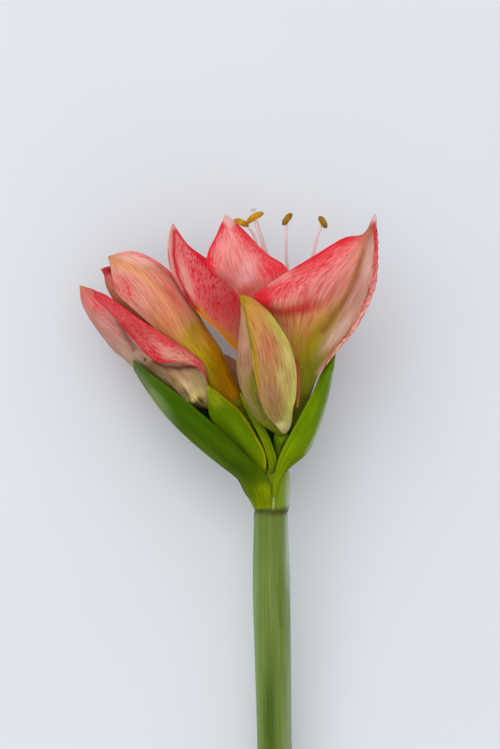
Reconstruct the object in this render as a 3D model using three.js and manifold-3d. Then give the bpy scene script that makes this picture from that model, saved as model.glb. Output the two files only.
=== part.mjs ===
// A cut amaryllis flower lying on its back: one thick hollow stem with two green spathe leaves and
// narrow bracts at its head, a wide open bloom, a half open bloom and two buds. Every blade is laid
// out in the stem's own frame, in millimetres: X across the stem, Y up the stem from the foot of the
// flower head, and Z toward the side that faces up when the flower lies down.
import * as THREE from 'three';
import { mergeVertices } from 'three/addons/utils/BufferGeometryUtils.js';
import Module from 'manifold-3d';

const wasm = await Module();
wasm.setup();

// How the stem's frame is turned to lie on the surface: degrees, then millimetres.
const LAY = { pitch: 8.2, roll: -5.6, shift: [26.39, 43.28, 44.3] };

// The stem below the flower head.
const STEM = { length: 250, radius: 10.3, neck: 9.3, cutTilt: 12 };
const BORE = { radius: 5.6, depth: 30 };

// Thickness of what is thin, and the gap between pieces that touch.
const PETAL = 0.9;
const LEAF = 1.1;
const GAP = 0.35;

// Foot and throat of the two open blooms: centre, radius and the way each bloom points.
const RIGHT_BLOOM = { foot: [12.2, 49.6, 0.6], throat: [12.8, 60.5, 0.8], radius: 8.2 };
const LEFT_BLOOM = { foot: [-15.8, 46.6, 0.9], throat: [-21.6, 56.5, 1.3], radius: 8.2 };

const COLOURS = {
  stem: 0x8a9f5e, spathe: 0x6f8f1e, bract: 0x86962a, stalk: 0x5f7d1c, petal: 0xe58a80,
  bud: 0xb98a62, filament: 0xe9b7ae, style: 0xe7b9b4, anther: 0xc99a2c,
};

const UP = new THREE.Vector3(0, 0, 1);
const vector = ([x, y, z]) => new THREE.Vector3(x, y, z);
const smooth = (points) => new THREE.CatmullRomCurve3(points, false, 'catmullrom');

// Closed meshes become solids here, to be joined and cut, and solids become meshes again.
function solidOf(geometry) {
  const bare = geometry.clone();
  bare.deleteAttribute('normal');
  bare.deleteAttribute('uv');
  const merged = mergeVertices(bare, 1e-5);
  return new wasm.Manifold(new wasm.Mesh({
    numProp: 3,
    vertProperties: new Float32Array(merged.attributes.position.array),
    triVerts: new Uint32Array(merged.index.array),
  }));
}

function geometryOf(solid) {
  const mesh = solid.getMesh();
  const geometry = new THREE.BufferGeometry();
  geometry.setAttribute('position', new THREE.BufferAttribute(mesh.vertProperties, 3));
  geometry.setIndex(new THREE.BufferAttribute(mesh.triVerts, 1));
  geometry.computeVertexNormals();
  return geometry;
}

// Joins solids that grow together; what the join seals inside is filled, and loose scraps go.
function joined(solids) {
  const whole = solids.reduce((sum, solid) => sum.add(solid));
  return whole.decompose().reduce((most, piece) => (piece.volume() > most.volume() ? piece : most));
}

// A sheet through rows of points. Rows run from root to tip, and the points of a row from the left
// edge to the right edge as seen from outside, so the front of the sheet is its outer face.
class Sheet {
  constructor(rows) {
    this.columns = rows[0].map((_, j) => smooth(rows.map((row) => vector(row[j]))));
  }

  point(u, v) {
    return smooth(this.columns.map((column) => column.getPoint(v))).getPoint(u);
  }

  normal(u, v) {
    const step = 0.01;
    const across = this.point(Math.min(u + step, 1), v).sub(this.point(Math.max(u - step, 0), v));
    const along = this.point(u, Math.min(v + step, 1)).sub(this.point(u, Math.max(v - step, 0)));
    return across.cross(along).normalize();
  }
}

// Height of the ripple along both edges of a blade: none at its middle, root and tip.
function ripple(u, v, { frill = 0, waves = 5, phase = 0 }) {
  const edge = Math.abs(2 * u - 1) ** 4;
  const ends = Math.sin(Math.PI * Math.min(1, v * 1.1)) ** 0.7;
  return frill * edge * ends * Math.sin(2 * Math.PI * waves * v + phase + (u > 0.5 ? 1.9 : 0));
}

// A blade is a sheet with thickness: a front grid, the same grid behind it, and a rim between them.
function blade(rows, { across = 8, along = 12, thick = PETAL, ...wave } = {}) {
  const sheet = new Sheet(rows);
  const grid = new THREE.PlaneGeometry(1, 1, across, along);
  const { position } = grid.attributes;
  const faces = Array.from(grid.index.array);
  const count = position.count;
  const points = new Float32Array(count * 6);
  for (let i = 0; i < count; i += 1) {
    const u = position.getX(i) + 0.5;
    const v = THREE.MathUtils.clamp(position.getY(i) + 0.5, 0, 1);
    const normal = sheet.normal(u, v);
    const centre = sheet.point(u, v).addScaledVector(normal, ripple(u, v, wave));
    centre.clone().addScaledVector(normal, thick / 2).toArray(points, i * 3);
    centre.clone().addScaledVector(normal, -thick / 2).toArray(points, (count + i) * 3);
  }
  const back = [];
  for (let i = 0; i < faces.length; i += 3) {
    back.push(faces[i] + count, faces[i + 2] + count, faces[i + 1] + count);
  }
  const wide = across + 1;
  const edge = [];
  for (let i = 0; i < across; i += 1) edge.push(i);
  for (let j = 0; j < along; j += 1) edge.push(j * wide + across);
  for (let i = across; i > 0; i -= 1) edge.push(along * wide + i);
  for (let j = along; j > 0; j -= 1) edge.push(j * wide);
  const rim = edge.flatMap((p, i) => {
    const q = edge[(i + 1) % edge.length];
    return [p, q, q + count, p, q + count, p + count];
  });
  const geometry = new THREE.BufferGeometry();
  geometry.setAttribute('position', new THREE.BufferAttribute(points, 3));
  geometry.setIndex([...faces, ...back, ...rim]);
  return solidOf(geometry);
}

// Right, up and forward at one place of a path that never runs straight up.
function frameOn(path, t) {
  const along = path.getTangent(t);
  const front = UP.clone().addScaledVector(along, -UP.dot(along)).normalize();
  return { centre: path.getPoint(t), along, front, side: along.clone().cross(front) };
}

// A round closed solid along a path. Each station is [x, y, z, half width, half depth].
function stalk(stations, sides = 10, rows = 6) {
  const path = smooth(stations.map(vector));
  const girth = smooth(stations.map(([, , , wide, deep = wide]) => new THREE.Vector3(wide, deep, 0)));
  const geometry = new THREE.CylinderGeometry(1, 1, 1, sides, rows);
  const { position } = geometry.attributes;
  for (let i = 0; i < position.count; i += 1) {
    const t = THREE.MathUtils.clamp(position.getY(i) + 0.5, 0, 1);
    const { centre, side, front } = frameOn(path, t);
    const { x: wide, y: deep } = girth.getPoint(t);
    centre.addScaledVector(side, position.getX(i) * wide);
    centre.addScaledVector(front, position.getZ(i) * deep);
    position.setXYZ(i, centre.x, centre.y, centre.z);
  }
  return solidOf(geometry);
}

// Rows of a petal that grows from a bloom's throat and is placed by its midrib alone. The cup draws
// its edges toward the bloom's axis.
function petalRows(midrib, halfWidths, bloom, cup = 0.35) {
  const path = smooth(midrib.map(vector));
  const foot = vector(bloom.foot);
  const axis = vector(bloom.mouth).sub(foot).normalize();
  return halfWidths.map((half, i) => {
    const t = i / (halfWidths.length - 1);
    const centre = path.getPoint(t);
    const along = path.getTangent(t);
    const reach = centre.clone().sub(foot);
    const outward = reach.addScaledVector(axis, -reach.dot(axis));
    outward.addScaledVector(along, -outward.dot(along)).normalize();
    const across = along.clone().cross(outward);
    const edge = centre.clone().addScaledVector(outward, -cup * half * Math.min(1, 0.45 + 2 * t));
    const left = edge.clone().addScaledVector(across, -half);
    const right = edge.clone().addScaledVector(across, half);
    return [left, centre, right].map((point) => point.toArray());
  });
}

// A closed bud: three petals rolled round each other, so its skin steps up at each free edge. The
// angles, in degrees round the bud from its front, say where each petal starts and ends.
const frontEdge = (t) => -22 - 26 * t ** 4 + 22 * (1 - t) ** 6;
const sideEdge = (t) => 112 - 50 * (1 - t) ** 6;
const rearEdge = () => 212;
const BUD_PETALS = [
  { columns: 9, from: frontEdge, to: sideEdge, rise: [1.3, 0.5] },
  { columns: 6, from: sideEdge, to: rearEdge, rise: [0, 0.9] },
  { columns: 6, from: rearEdge, to: (t) => 360 + frontEdge(t), rise: [0, 0.4] },
];

function bud(stations, rows) {
  const path = smooth(stations.map(vector));
  const girth = smooth(stations.map(([, , , wide, deep]) => new THREE.Vector3(wide, deep, 0)));
  const columns = BUD_PETALS.flatMap((petal) => (
    Array.from({ length: petal.columns }, (_, i) => ({ ...petal, part: i / (petal.columns - 1) }))
  ));
  const geometry = new THREE.CylinderGeometry(1, 1, 1, columns.length, rows);
  const { position } = geometry.attributes;
  for (let i = 0; i < position.count; i += 1) {
    const t = THREE.MathUtils.clamp(position.getY(i) + 0.5, 0, 1);
    const { centre, side, front } = frameOn(path, t);
    const turn = Math.atan2(position.getX(i), position.getZ(i)) / (2 * Math.PI);
    const onSkin = Math.hypot(position.getX(i), position.getZ(i)) > 0.5;
    if (onSkin) {
      const { from, to, part, rise } = columns.at(Math.round(turn * columns.length) % columns.length);
      const angle = THREE.MathUtils.degToRad(THREE.MathUtils.lerp(from(t), to(t), part));
      const raise = THREE.MathUtils.lerp(rise[0], rise[1], part) * Math.sin(Math.PI * t) ** 0.4;
      const { x: wide, y: deep } = girth.getPoint(t);
      centre.addScaledVector(side, Math.sin(angle) * (wide + raise));
      centre.addScaledVector(front, Math.cos(angle) * (deep + raise));
    }
    position.setXYZ(i, centre.x, centre.y, centre.z);
  }
  return solidOf(geometry);
}

// Stem: a slightly oval rod, widest below the head, with a ring groove under the flower head and a
// slanting hollow cut end.
function stem() {
  const { length, radius, neck, cutTilt } = STEM;
  const rod = stalk([
    [3.4, -length - 4, 0, radius + 0.3, radius],
    [2.3, -190, 0, radius - 0.3, radius - 0.6],
    [1.4, -133, 0, radius - 0.8, radius - 1],
    [0.6, -90, 0, radius - 0.4, radius - 0.6],
    [-0.3, -45, 0, radius, radius - 0.3],
    [-0.5, -14, 0, neck + 0.4, neck + 0.2],
    [-0.6, -3.6, 0, neck + 0.1, neck],
    [-0.5, -2.4, 0, neck - 0.3, neck - 0.3],
    [-0.2, -1.2, 0, neck, neck],
    [0.2, 4, 0, neck + 0.3, neck + 0.2],
    [0.3, 10, 0, neck + 0.6, neck + 0.3],
    [0.3, 15, 0, neck + 0.4, neck + 0.1],
    [0.3, 18.4, 0, neck, neck - 0.2],
    [0.3, 20, 0, neck - 0.9, neck - 0.9],
  ], 20, 13);
  const bore = stalk([
    [3.5, -length - 12, 0, BORE.radius],
    [3.1, -length + BORE.depth - 3, 0, BORE.radius],
    [3.0, -length + BORE.depth, 0, BORE.radius - 2.5],
  ], 12, 2);
  const saw = new THREE.BoxGeometry(60, 40, 60);
  saw.rotateX(THREE.MathUtils.degToRad(cutTilt));
  saw.translate(3.4, -length - 20, 0);
  return rod.subtract(bore).subtract(solidOf(saw));
}

// Spathe leaves and bracts.
const SPATHE_LEFT = [
  [[-0.9, -1.6, -10.5], [-8, -1.6, -7.7], [-11, -1.6, 0], [-8, -1.6, 7.7], [-0.5, -1.2, 10.5]],
  [[-0.9, 3.4, -10.6], [-8.6, 3, -8.4], [-12.9, 3, 0], [-8.6, 3, 8.4], [-0.6, 4, 10.6]],
  [[-1, 10, -11.3], [-10.2, 8.5, -9.5], [-14.9, 8, 0], [-10.4, 8.5, 9.5], [-0.9, 12, 11.3]],
  [[-6, 20, -13.5], [-15.2, 17, -11.5], [-19.2, 15.5, 0], [-15.2, 17, 11.5], [-5.2, 19.2, 13.8]],
  [[-13, 35, -14], [-26.5, 26.5, -11.5], [-30, 24, 0], [-26.5, 26.3, 11.5], [-16, 29.8, 16.4]],
  [[-28, 52, -13.5], [-42, 41, -10.8], [-46, 37.5, 0], [-42.5, 40.3, 11], [-32, 45, 17]],
  [[-48, 58.2, -15], [-56.4, 54, -10.5], [-60, 52, 1], [-57, 54.5, 9.5], [-47.5, 58.2, 14.5]],
  [[-61, 63.8, -9.5], [-66.8, 65, -4.5], [-71, 67.6, 2.5], [-69.2, 69, 6.5], [-63.5, 70.6, 9.8]],
  [[-74.4, 73.2, 1.2], [-74.7, 73.6, 2.8], [-74.5, 74.2, 4.6], [-72.8, 74.8, 7], [-69.7, 75.2, 9]],
  [[-75.9, 79.6, 4.8], [-76.1, 80, 5], [-76.1, 80.2, 5.3], [-75.8, 79.9, 5.7], [-75.4, 79.5, 6]],
];
const SPATHE_RIGHT = [
  [[0.5, 5, 10.4], [1.2, 5, 10.5], [2, 6, 10.4]],
  [[0.6, 13, 11.6], [2.5, 13.2, 11.8], [4.4, 14.5, 11.2]],
  [[2.2, 21, 13.1], [6, 21, 13], [9.5, 20.8, 9.8]],
  [[5, 30, 14.8], [11, 29.5, 13.4], [19.2, 29.2, 7]],
  [[10.3, 40.5, 15.8], [17, 40, 13], [24.5, 39.8, 5]],
  [[16.3, 51.5, 13.5], [22.5, 51, 11], [28.4, 50.8, 2]],
  [[22.3, 62.5, 9], [27.2, 62, 7], [31.3, 62, 0]],
  [[27.1, 73, 0.2], [30.5, 73, 1.8], [33.3, 73, -2.6]],
  [[32, 80.5, -3.6], [33.4, 81, -3], [34.5, 80.5, -4.4]],
  [[34.6, 84, -4.8], [34.9, 84.2, -4.8], [35.2, 84, -4.8]],
];
const BRACT_BROAD = [
  [[-8.6, 17.2, 6.6], [-6, 17.6, 8.4], [-3, 18, 9.6]],
  [[-16, 28, 9], [-10.5, 28.5, 12], [-3.9, 29, 12.2]],
  [[-28, 40.6, 10.6], [-18.5, 41, 14.2], [-10, 41, 13]],
  [[-34.2, 49.4, 12.6], [-25, 50.5, 15.8], [-16.5, 51, 13.8]],
  [[-34.8, 57, 15.2], [-29.5, 58, 16.6], [-24, 57.8, 14.8]],
  [[-35.3, 62.5, 17.6], [-33.3, 62.8, 18], [-31, 63.6, 17]],
  [[-35.3, 66.2, 19.6], [-35, 66.6, 19.6], [-34.6, 66.2, 19.6]],
];
const BRACT_NARROW = [
  [[-2.1, 18.4, 10], [-0.7, 18.6, 10.2], [0.7, 18.6, 10]],
  [[-2.2, 24.5, 12.3], [0.2, 24.5, 12.8], [2.5, 24.5, 12.2]],
  [[-5, 34, 12.8], [-2.4, 34.3, 13.5], [-0.1, 34.2, 12.8]],
  [[-10.3, 45, 12.6], [-8, 45.7, 13.4], [-5.8, 46, 12.6]],
  [[-15.4, 55, 12], [-14, 55.3, 12.5], [-12.7, 55.3, 12]],
  [[-17.6, 61.8, 11.5], [-17.4, 62.2, 11.5], [-17.1, 61.8, 11.5]],
];
const BRACT_REAR = [
  [[7.2, 18, -7.9], [3.4, 18.2, -10.1], [-0.6, 18, -10.6]],
  [[11, 29, -12], [5, 30, -15], [-1.6, 29, -15.4]],
  [[13.5, 41, -15], [6, 42, -19.5], [-2, 41, -20.5]],
  [[11.5, 52, -19.5], [6, 53, -22.6], [0.5, 52, -23.4]],
  [[6, 60.5, -26], [5.4, 61, -26.4], [4.8, 60.5, -26]],
];

// Flower stalks, each swelling into its seed case under the bloom.
const STALK_RIGHT = [
  [4.4, 20.35, -3.4, 3.1], [4.4, 24, -3.4, 3], [7, 31, -4.6, 3.1], [9.8, 38, -4, 4],
  [11.6, 43.5, -0.8, 5.6], [12, 48.2, 0.4, 4.6],
];
const STALK_LEFT = [
  [-3.8, 20.35, -0.6, 3], [-3.8, 24, -0.6, 2.9], [-7.4, 31, -1.8, 3.1], [-11, 37, -1.4, 4.2],
  [-13.8, 42.3, 0.2, 5.4], [-15.2, 45.6, 0.7, 4.6],
];
const STALK_FRONT_BUD = [
  [2.6, 20.35, 4.6, 2.6], [2.6, 23.4, 4.6, 2.5], [3.4, 28.4, 6.6, 2.7], [4.4, 33.4, 8.8, 3.7],
  [5, 37, 11.2, 4], [5.2, 39.7, 13.5, 3.4],
];
const STALK_REAR_BUD = [
  [-2.6, 20.35, -5.9, 2.3], [-2.6, 23.4, -5.9, 2.2], [-4.8, 29.4, -11, 2.3], [-6.8, 35, -14.4, 3.1],
  [-8.2, 39.4, -16.6, 3.6], [-9, 42.8, -17.8, 3],
];

// Buds: stations of the closed body.
const FRONT_BUD = [
  [5.5, 41.4, 14.9, 3.4, 3.4], [3.6, 46.5, 18, 7.2, 6.8], [0.3, 54, 21.5, 11.6, 10.2],
  [-1.6, 63, 25.4, 14.2, 12.4], [-3.2, 73, 28.8, 15.5, 13.2], [-4.9, 84, 31.6, 14.6, 12.6],
  [-7, 94, 33.8, 11.6, 10.6], [-9.9, 103.4, 35, 7.8, 7.6], [-13.6, 110.8, 35.3, 3.8, 4],
  [-17.2, 115.4, 36, 0.7, 0.7],
];
const REAR_BUD = [
  [-9.2, 43.4, -18.2, 2.8, 2.8], [-11.4, 49, -20.4, 5.4, 5.2], [-15, 57.5, -23.5, 7.6, 7],
  [-19, 66.5, -26.6, 7.8, 7], [-22.6, 74.5, -29.4, 6, 5.4], [-25.2, 80, -31.6, 3, 2.8],
  [-26.6, 83, -33, 0.6, 0.6],
];

// Petals of the right bloom that the view shows, root to tip.
const RIGHT_FRONT_LEFT = [
  [[6.5, 58, 5.5], [9.2, 58, 7.6], [12.5, 58, 8.4]],
  [[-2, 72, 8], [4, 72, 11], [11, 72, 12]],
  [[-7, 88, 10.5], [1, 88, 13], [12, 88, 14.5]],
  [[-12, 104, 12.5], [-4, 104, 16], [12, 104, 16.5]],
  [[-21.5, 119, 15], [-9, 118.5, 19.5], [10.5, 119, 18.4]],
  [[-34.4, 130, 16.4], [-14, 130, 22], [7.4, 131, 17.6]],
  [[-35, 139, 17], [-17, 139, 22.8], [-2.6, 138.8, 17.8]],
  [[-30.4, 149.5, 16.8], [-21, 149.5, 20.8], [-13.8, 149.4, 17.2]],
  [[-26.8, 157, 15.6], [-24, 157, 17.2], [-21.2, 156.8, 15.8]],
  [[-25.8, 159.4, 15.4], [-25, 159.8, 15.6], [-24.2, 159.4, 15.4]],
];
const RIGHT_FRONT_RIGHT = [
  [[11.7, 59, 8.3], [14.6, 59, 8.2], [17.3, 59, 7], [19.3, 59, 5], [20.4, 59, 2.3]],
  [[3, 74, 13.6], [11, 74, 15], [19.5, 74.5, 13], [24, 74, 9.5], [26.4, 73.4, 5]],
  [[-3, 86, 17], [10, 87, 19], [23.2, 89, 17], [31, 87.5, 12], [36.5, 87, 6]],
  [[-9, 100, 21], [9, 101, 22.5], [29.5, 102, 21.5], [39, 99.5, 15], [46.2, 98.5, 8]],
  [[-11.6, 112.4, 27], [8, 113, 28], [36, 114, 23.5], [46, 112, 16.5], [53.4, 113, 9.5]],
  [[-3, 121.2, 24.5], [16, 124, 25.5], [43, 127, 25], [51.2, 125, 18.5], [56.8, 123.5, 12]],
  [[14, 131.6, 20.6], [32, 136, 23], [48.3, 137.5, 24.5], [53.6, 136, 20], [57.2, 136, 14.5]],
  [[37, 146, 18.6], [44, 144.6, 21.5], [51, 145, 23.8], [54.8, 144, 20], [57.2, 144, 16]],
  [[49.8, 149.2, 18.8], [51.6, 150, 21.3], [53.6, 151.4, 22.4], [55.8, 151.5, 20.4], [57.2, 151.6, 17.6]],
  [[55.6, 159, 19], [55.9, 159.7, 19.2], [56.4, 160.2, 19.3], [56.9, 159.8, 19.1], [57.2, 159.2, 18.8]],
];
const RIGHT_WING = [
  [[6.8, 58, -3.3], [5.7, 58, -1], [5.5, 58, 1.7], [6.1, 58, 4], [7.2, 58, 5.9]],
  [[-4, 76, -7], [-7, 75.5, -3], [-9, 74.5, 1], [-8.6, 73.5, 4.5], [-6, 72.5, 7]],
  [[-10, 92, -13], [-14, 91, -5], [-18, 88.5, 2], [-20, 87, 5], [-19.4, 85.4, 8]],
  [[-9, 103, -20], [-19, 101, -8], [-28, 97.5, 3], [-28.8, 96.3, 6], [-28.6, 95.2, 8.5]],
  [[-14, 112, -22], [-27, 109.5, -8], [-38, 106.5, 4], [-39.2, 105.2, 7], [-39.6, 104.6, 9]],
  [[-25, 122.5, -20], [-36, 119.5, -5.5], [-46, 116, 5], [-47.4, 115.8, 7.5], [-48.4, 116.8, 9.5]],
  [[-37, 134, -12.5], [-45, 131, -2.5], [-52, 128, 5], [-54, 127.8, 7.5], [-55.4, 128.6, 9]],
  [[-44, 141.5, -6], [-49, 140.7, -0.5], [-54.3, 140, 5], [-56, 140, 7], [-57.2, 139.5, 8.5]],
  [[-50, 148.6, -1], [-52.5, 148.6, 2], [-55, 148.6, 4.5], [-56, 148.4, 6], [-56.8, 148, 7]],
  [[-54, 154.8, 3], [-54.3, 155.1, 3.3], [-54.6, 155.2, 3.6], [-54.9, 155, 3.8], [-55.2, 154.6, 4]],
];
// Petals behind, by their midribs.
const RIGHT_SIDE = [
  [20, 58, 0], [24, 74, -3], [31, 88, -8], [40, 103, -14], [46, 119, -21], [46, 131, -29],
];
const RIGHT_BACK = [
  [16, 58, -5.8], [17.5, 74, -15], [17, 90, -28], [14, 104, -43], [9, 114, -56], [6, 118, -63],
];
const RIGHT_BACK_LEFT = [
  [8.7, 58, -5], [0, 74, -12], [-11, 90, -22], [-23, 105, -33], [-33, 117, -43], [-38, 124, -51],
];
const PETAL_HALF_WIDTHS = [4.4, 9.5, 14.5, 17.5, 17, 12.5, 6.5, 0.7];

// Petals of the left bloom.
const LEFT_UPPER = [
  [[-21.9, 50.6, 7.4], [-20.5, 51.8, 8.2], [-19, 53, 8.5], [-16, 55.5, 7.2], [-13.6, 57.5, 3.8]],
  [[-31, 60, 9.5], [-29, 61.5, 10.8], [-26.5, 63.5, 11], [-23, 66.5, 8.5], [-20.5, 69, 4.5]],
  [[-40, 71, 12.5], [-37, 73, 15], [-34, 75.5, 15.5], [-29, 77.5, 11.5], [-25.2, 79, 5]],
  [[-50, 83, 15], [-46, 84, 18], [-42, 85.5, 18.8], [-35, 87, 13.5], [-30, 89, 4]],
  [[-62, 95, 15.5], [-56, 96, 19.5], [-50.5, 96.5, 20.5], [-42.5, 97.5, 14], [-37.3, 100.5, 3]],
  [[-74, 106, 13.5], [-66, 108.5, 18.5], [-58.5, 111, 20.5], [-50, 112, 13], [-45.5, 113.5, 1.5]],
  [[-85, 117, 10], [-75.5, 120, 15.5], [-67, 123, 17.5], [-59.5, 125, 10.5], [-54.8, 127.2, 0]],
  [[-88, 127, 7.5], [-82, 129, 11], [-76, 131.3, 12], [-70, 134.2, 7], [-66, 136, 0.5]],
  [[-88.7, 133.2, 4], [-86, 133.9, 6], [-83, 135.3, 6.8], [-79.5, 138, 4.5], [-77.5, 140, 2]],
  [[-89.6, 136.2, 2], [-89.9, 136.6, 2], [-90.2, 136.8, 2], [-89.6, 137.3, 2], [-88.9, 137.7, 2]],
];
const LEFT_LOWER = [
  [[-21, 51.2, -5.5], [-24, 49, -2], [-24.6, 48.6, 2], [-23.6, 49.4, 5], [-22, 50.8, 6.6]],
  [[-31, 57, -8], [-35.5, 53.5, -3], [-36.5, 54, 4], [-34.5, 57.5, 10], [-32.5, 60.5, 12.2]],
  [[-44, 58.5, -9], [-49, 55.5, -4], [-47, 62, 8.5], [-38, 76.4, 17], [-38.6, 74.2, 19.6]],
  [[-57, 65.5, -9], [-60.4, 65, -4], [-58.5, 71, 9], [-47.5, 85.6, 19], [-48.5, 78.8, 23.5]],
  [[-71.5, 76.5, -7], [-76.8, 77, -3], [-73.5, 84, 8], [-62, 95.4, 19], [-63.5, 79.3, 24]],
  [[-85, 84, -7], [-88, 89, -1], [-85, 95, 8.5], [-77.5, 105.8, 16.5], [-76.5, 92, 21.5]],
  [[-96.5, 97.5, -4], [-98.5, 101.5, 1], [-96, 105.5, 7.5], [-90, 114.8, 12], [-87, 104, 16.5]],
  [[-103.3, 109.5, -1], [-104.2, 112, 2], [-102.6, 114.4, 5.2], [-98.5, 118.9, 7.2], [-96, 113.3, 9.5]],
  [[-105.6, 120.2, 1], [-105.7, 121, 1.4], [-105.3, 121.3, 2], [-104.8, 121, 2.6], [-104.2, 120.4, 3]],
];
const LEFT_INNER = [
  [[-24.8, 49.6, 4.8], [-21.6, 51, 8], [-15.4, 55.8, 6.8]],
  [[-45, 72, 4], [-39, 77, 10], [-31, 82, 3]],
  [[-66, 92, 4], [-58, 99, 11.5], [-48, 105, 2]],
  [[-83, 108, 4], [-76, 115, 9.5], [-65, 121, 1]],
  [[-90.8, 120, 4], [-86.5, 122.5, 6.5], [-78, 129, 1]],
  [[-92.4, 127, 4.6], [-90.2, 128.6, 5], [-86, 132, 2]],
  [[-94.3, 130, 4], [-94, 130.4, 4], [-93.6, 130.8, 3.8]],
];
const LEFT_TOP_BACK = [
  [-14.5, 57.5, -3], [-25, 75, -7], [-36, 91, -11], [-49, 107, -15], [-62, 119, -18], [-75, 127, -19],
];
const LEFT_BACK = [
  [-17, 55, -6], [-30, 70, -16], [-43, 84, -26], [-57, 97, -35], [-70, 107, -42], [-81, 113, -47],
];
const LEFT_LOW_BACK = [
  [-21.5, 51, -5], [-36, 63, -14], [-52, 76, -24], [-67, 87, -34], [-79, 95, -43], [-88, 100, -51],
];

const PETAL_WAVE = { across: 8, along: 12, frill: 1, waves: 3.5 };

function cup(bloom, depth) {
  const foot = vector(bloom.foot);
  const throat = vector(bloom.throat);
  const at = (share, radius) => [...foot.clone().lerp(throat, share).toArray(), radius];
  const outer = stalk([
    at(0, 4.6), at(0.35, bloom.radius - 2), at(0.7, bloom.radius - 0.6), at(1, bloom.radius),
  ], 14, 3);
  const inner = stalk([
    at(depth, 2.2), at(depth + 0.25, bloom.radius - 2.9), at(1, bloom.radius - 1.6),
    at(1.3, bloom.radius - 1.3),
  ], 14, 3);
  return outer.subtract(inner);
}

function rightBloom() {
  const bloom = { ...RIGHT_BLOOM, mouth: [0, 130, -18] };
  const hidden = (midrib, phase) => blade(
    petalRows(midrib, PETAL_HALF_WIDTHS, bloom),
    { across: 6, along: 10, frill: 1.2, waves: 3, phase },
  );
  return joined([
    cup(RIGHT_BLOOM, 0.4),
    blade(RIGHT_FRONT_LEFT, { ...PETAL_WAVE, phase: 0.6 }),
    blade(RIGHT_FRONT_RIGHT, { ...PETAL_WAVE, across: 10, along: 15, frill: 0.8, waves: 5 }),
    blade(RIGHT_WING, { ...PETAL_WAVE, frill: 0.4 }),
    hidden(RIGHT_SIDE, 0),
    hidden(RIGHT_BACK, 1),
    hidden(RIGHT_BACK_LEFT, 2),
  ]);
}

function leftBloom() {
  const bloom = { ...LEFT_BLOOM, mouth: [-70, 106, -8] };
  const hidden = (midrib, phase) => blade(
    petalRows(midrib, PETAL_HALF_WIDTHS.map((half) => half * 0.9), bloom, 0.5),
    { across: 6, along: 9, frill: 1, waves: 3, phase },
  );
  return joined([
    cup(LEFT_BLOOM, 0.4),
    blade(LEFT_UPPER, { ...PETAL_WAVE, frill: 0.3 }),
    blade(LEFT_LOWER, { ...PETAL_WAVE, across: 10, along: 13, frill: 0.4 }),
    blade(LEFT_INNER, { ...PETAL_WAVE, across: 5, along: 9, frill: 0.2 }),
    hidden(LEFT_TOP_BACK, 0),
    hidden(LEFT_BACK, 1),
    hidden(LEFT_LOW_BACK, 2),
  ]);
}

// Six threads rise from a ring in the throat, and each carries a loose anther.
const RIGHT_THREADS = [
  [[8, 84, 2], [-2, 118, -4], [-9, 146, -7.6], [-12.8, 153.3, -8.1]],
  [[11, 84, 5], [1, 120, 2], [-6, 146, -3.5], [-9.1, 157.3, -5]],
  [[13, 84, 3], [11, 110, -3], [7.9, 138, -8.5], [8.2, 155.4, -10.2]],
  [[15, 84, 2], [18, 112, -4], [23.5, 142, -8.5], [27.2, 154.5, -9.2]],
  [[11, 80, -4], [6, 98, -11], [1, 112, -16], [-2.1, 120.3, -17.8]],
  [[14, 80, -5], [15, 98, -14], [14, 111, -20], [13, 118, -23]],
];
const RIGHT_ANTHERS = [
  [[-21, 157.4, -8.6], [-17, 156.2, -8], [-12.8, 154, -8]],
  [[-14, 155.6, -5], [-9.6, 159.2, -4.4], [-4.6, 161.3, -5]],
  [[6, 154.6, -9], [8.4, 158.2, -8.6], [11, 161, -9]],
  [[26, 159.4, -8.4], [28, 156.6, -8], [30, 153, -8.4]],
  [[-5.6, 120.6, -17.8], [-2.6, 122.2, -17], [1.4, 122.8, -17.8]],
  [[9.8, 121, -23.6], [12.8, 120.2, -22.4], [16.6, 119.6, -23]],
];
const RIGHT_STYLE = [
  [12.5, 55.8, 0.7, 1.3], [10.8, 80, 0.2, 1.25], [6, 106, -5, 1.2], [-2, 136, -10, 1.2],
  [-7.4, 152, -12, 1.15], [-10.4, 163.6, -12, 1.5],
];
const LEFT_THREADS = [
  [[-37, 76, 5], [-52, 93, 6], [-66, 105, 3], [-74, 111, 1]],
  [[-36, 76, 2], [-53, 90, 2], [-68, 101, 0], [-78, 106, -2]],
  [[-35, 75, -3], [-51, 88, -6], [-66, 98, -9], [-76, 103, -12]],
  [[-33, 77, -5], [-47, 92, -9], [-60, 105, -13], [-68, 111, -16]],
  [[-32, 79, 1], [-45, 96, 0], [-58, 109, -3], [-67, 116, -6]],
  [[-35, 74, -6], [-49, 85, -12], [-62, 93, -18], [-70, 97, -22]],
];
const LEFT_STYLE = [
  [-18.4, 51.4, 0.8, 1.2], [-34, 75.5, 0, 1.2], [-52, 94, -3, 1.15], [-70, 108, -7, 1.1],
  [-83, 114, -10, 1.4],
];

// The ring in a bloom's throat that its threads grow from, and how thick they are and how fast they
// thin out.
const THREADS = { ring: 4.2, girth: 1, root: 1, thinning: 0.06 };

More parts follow.
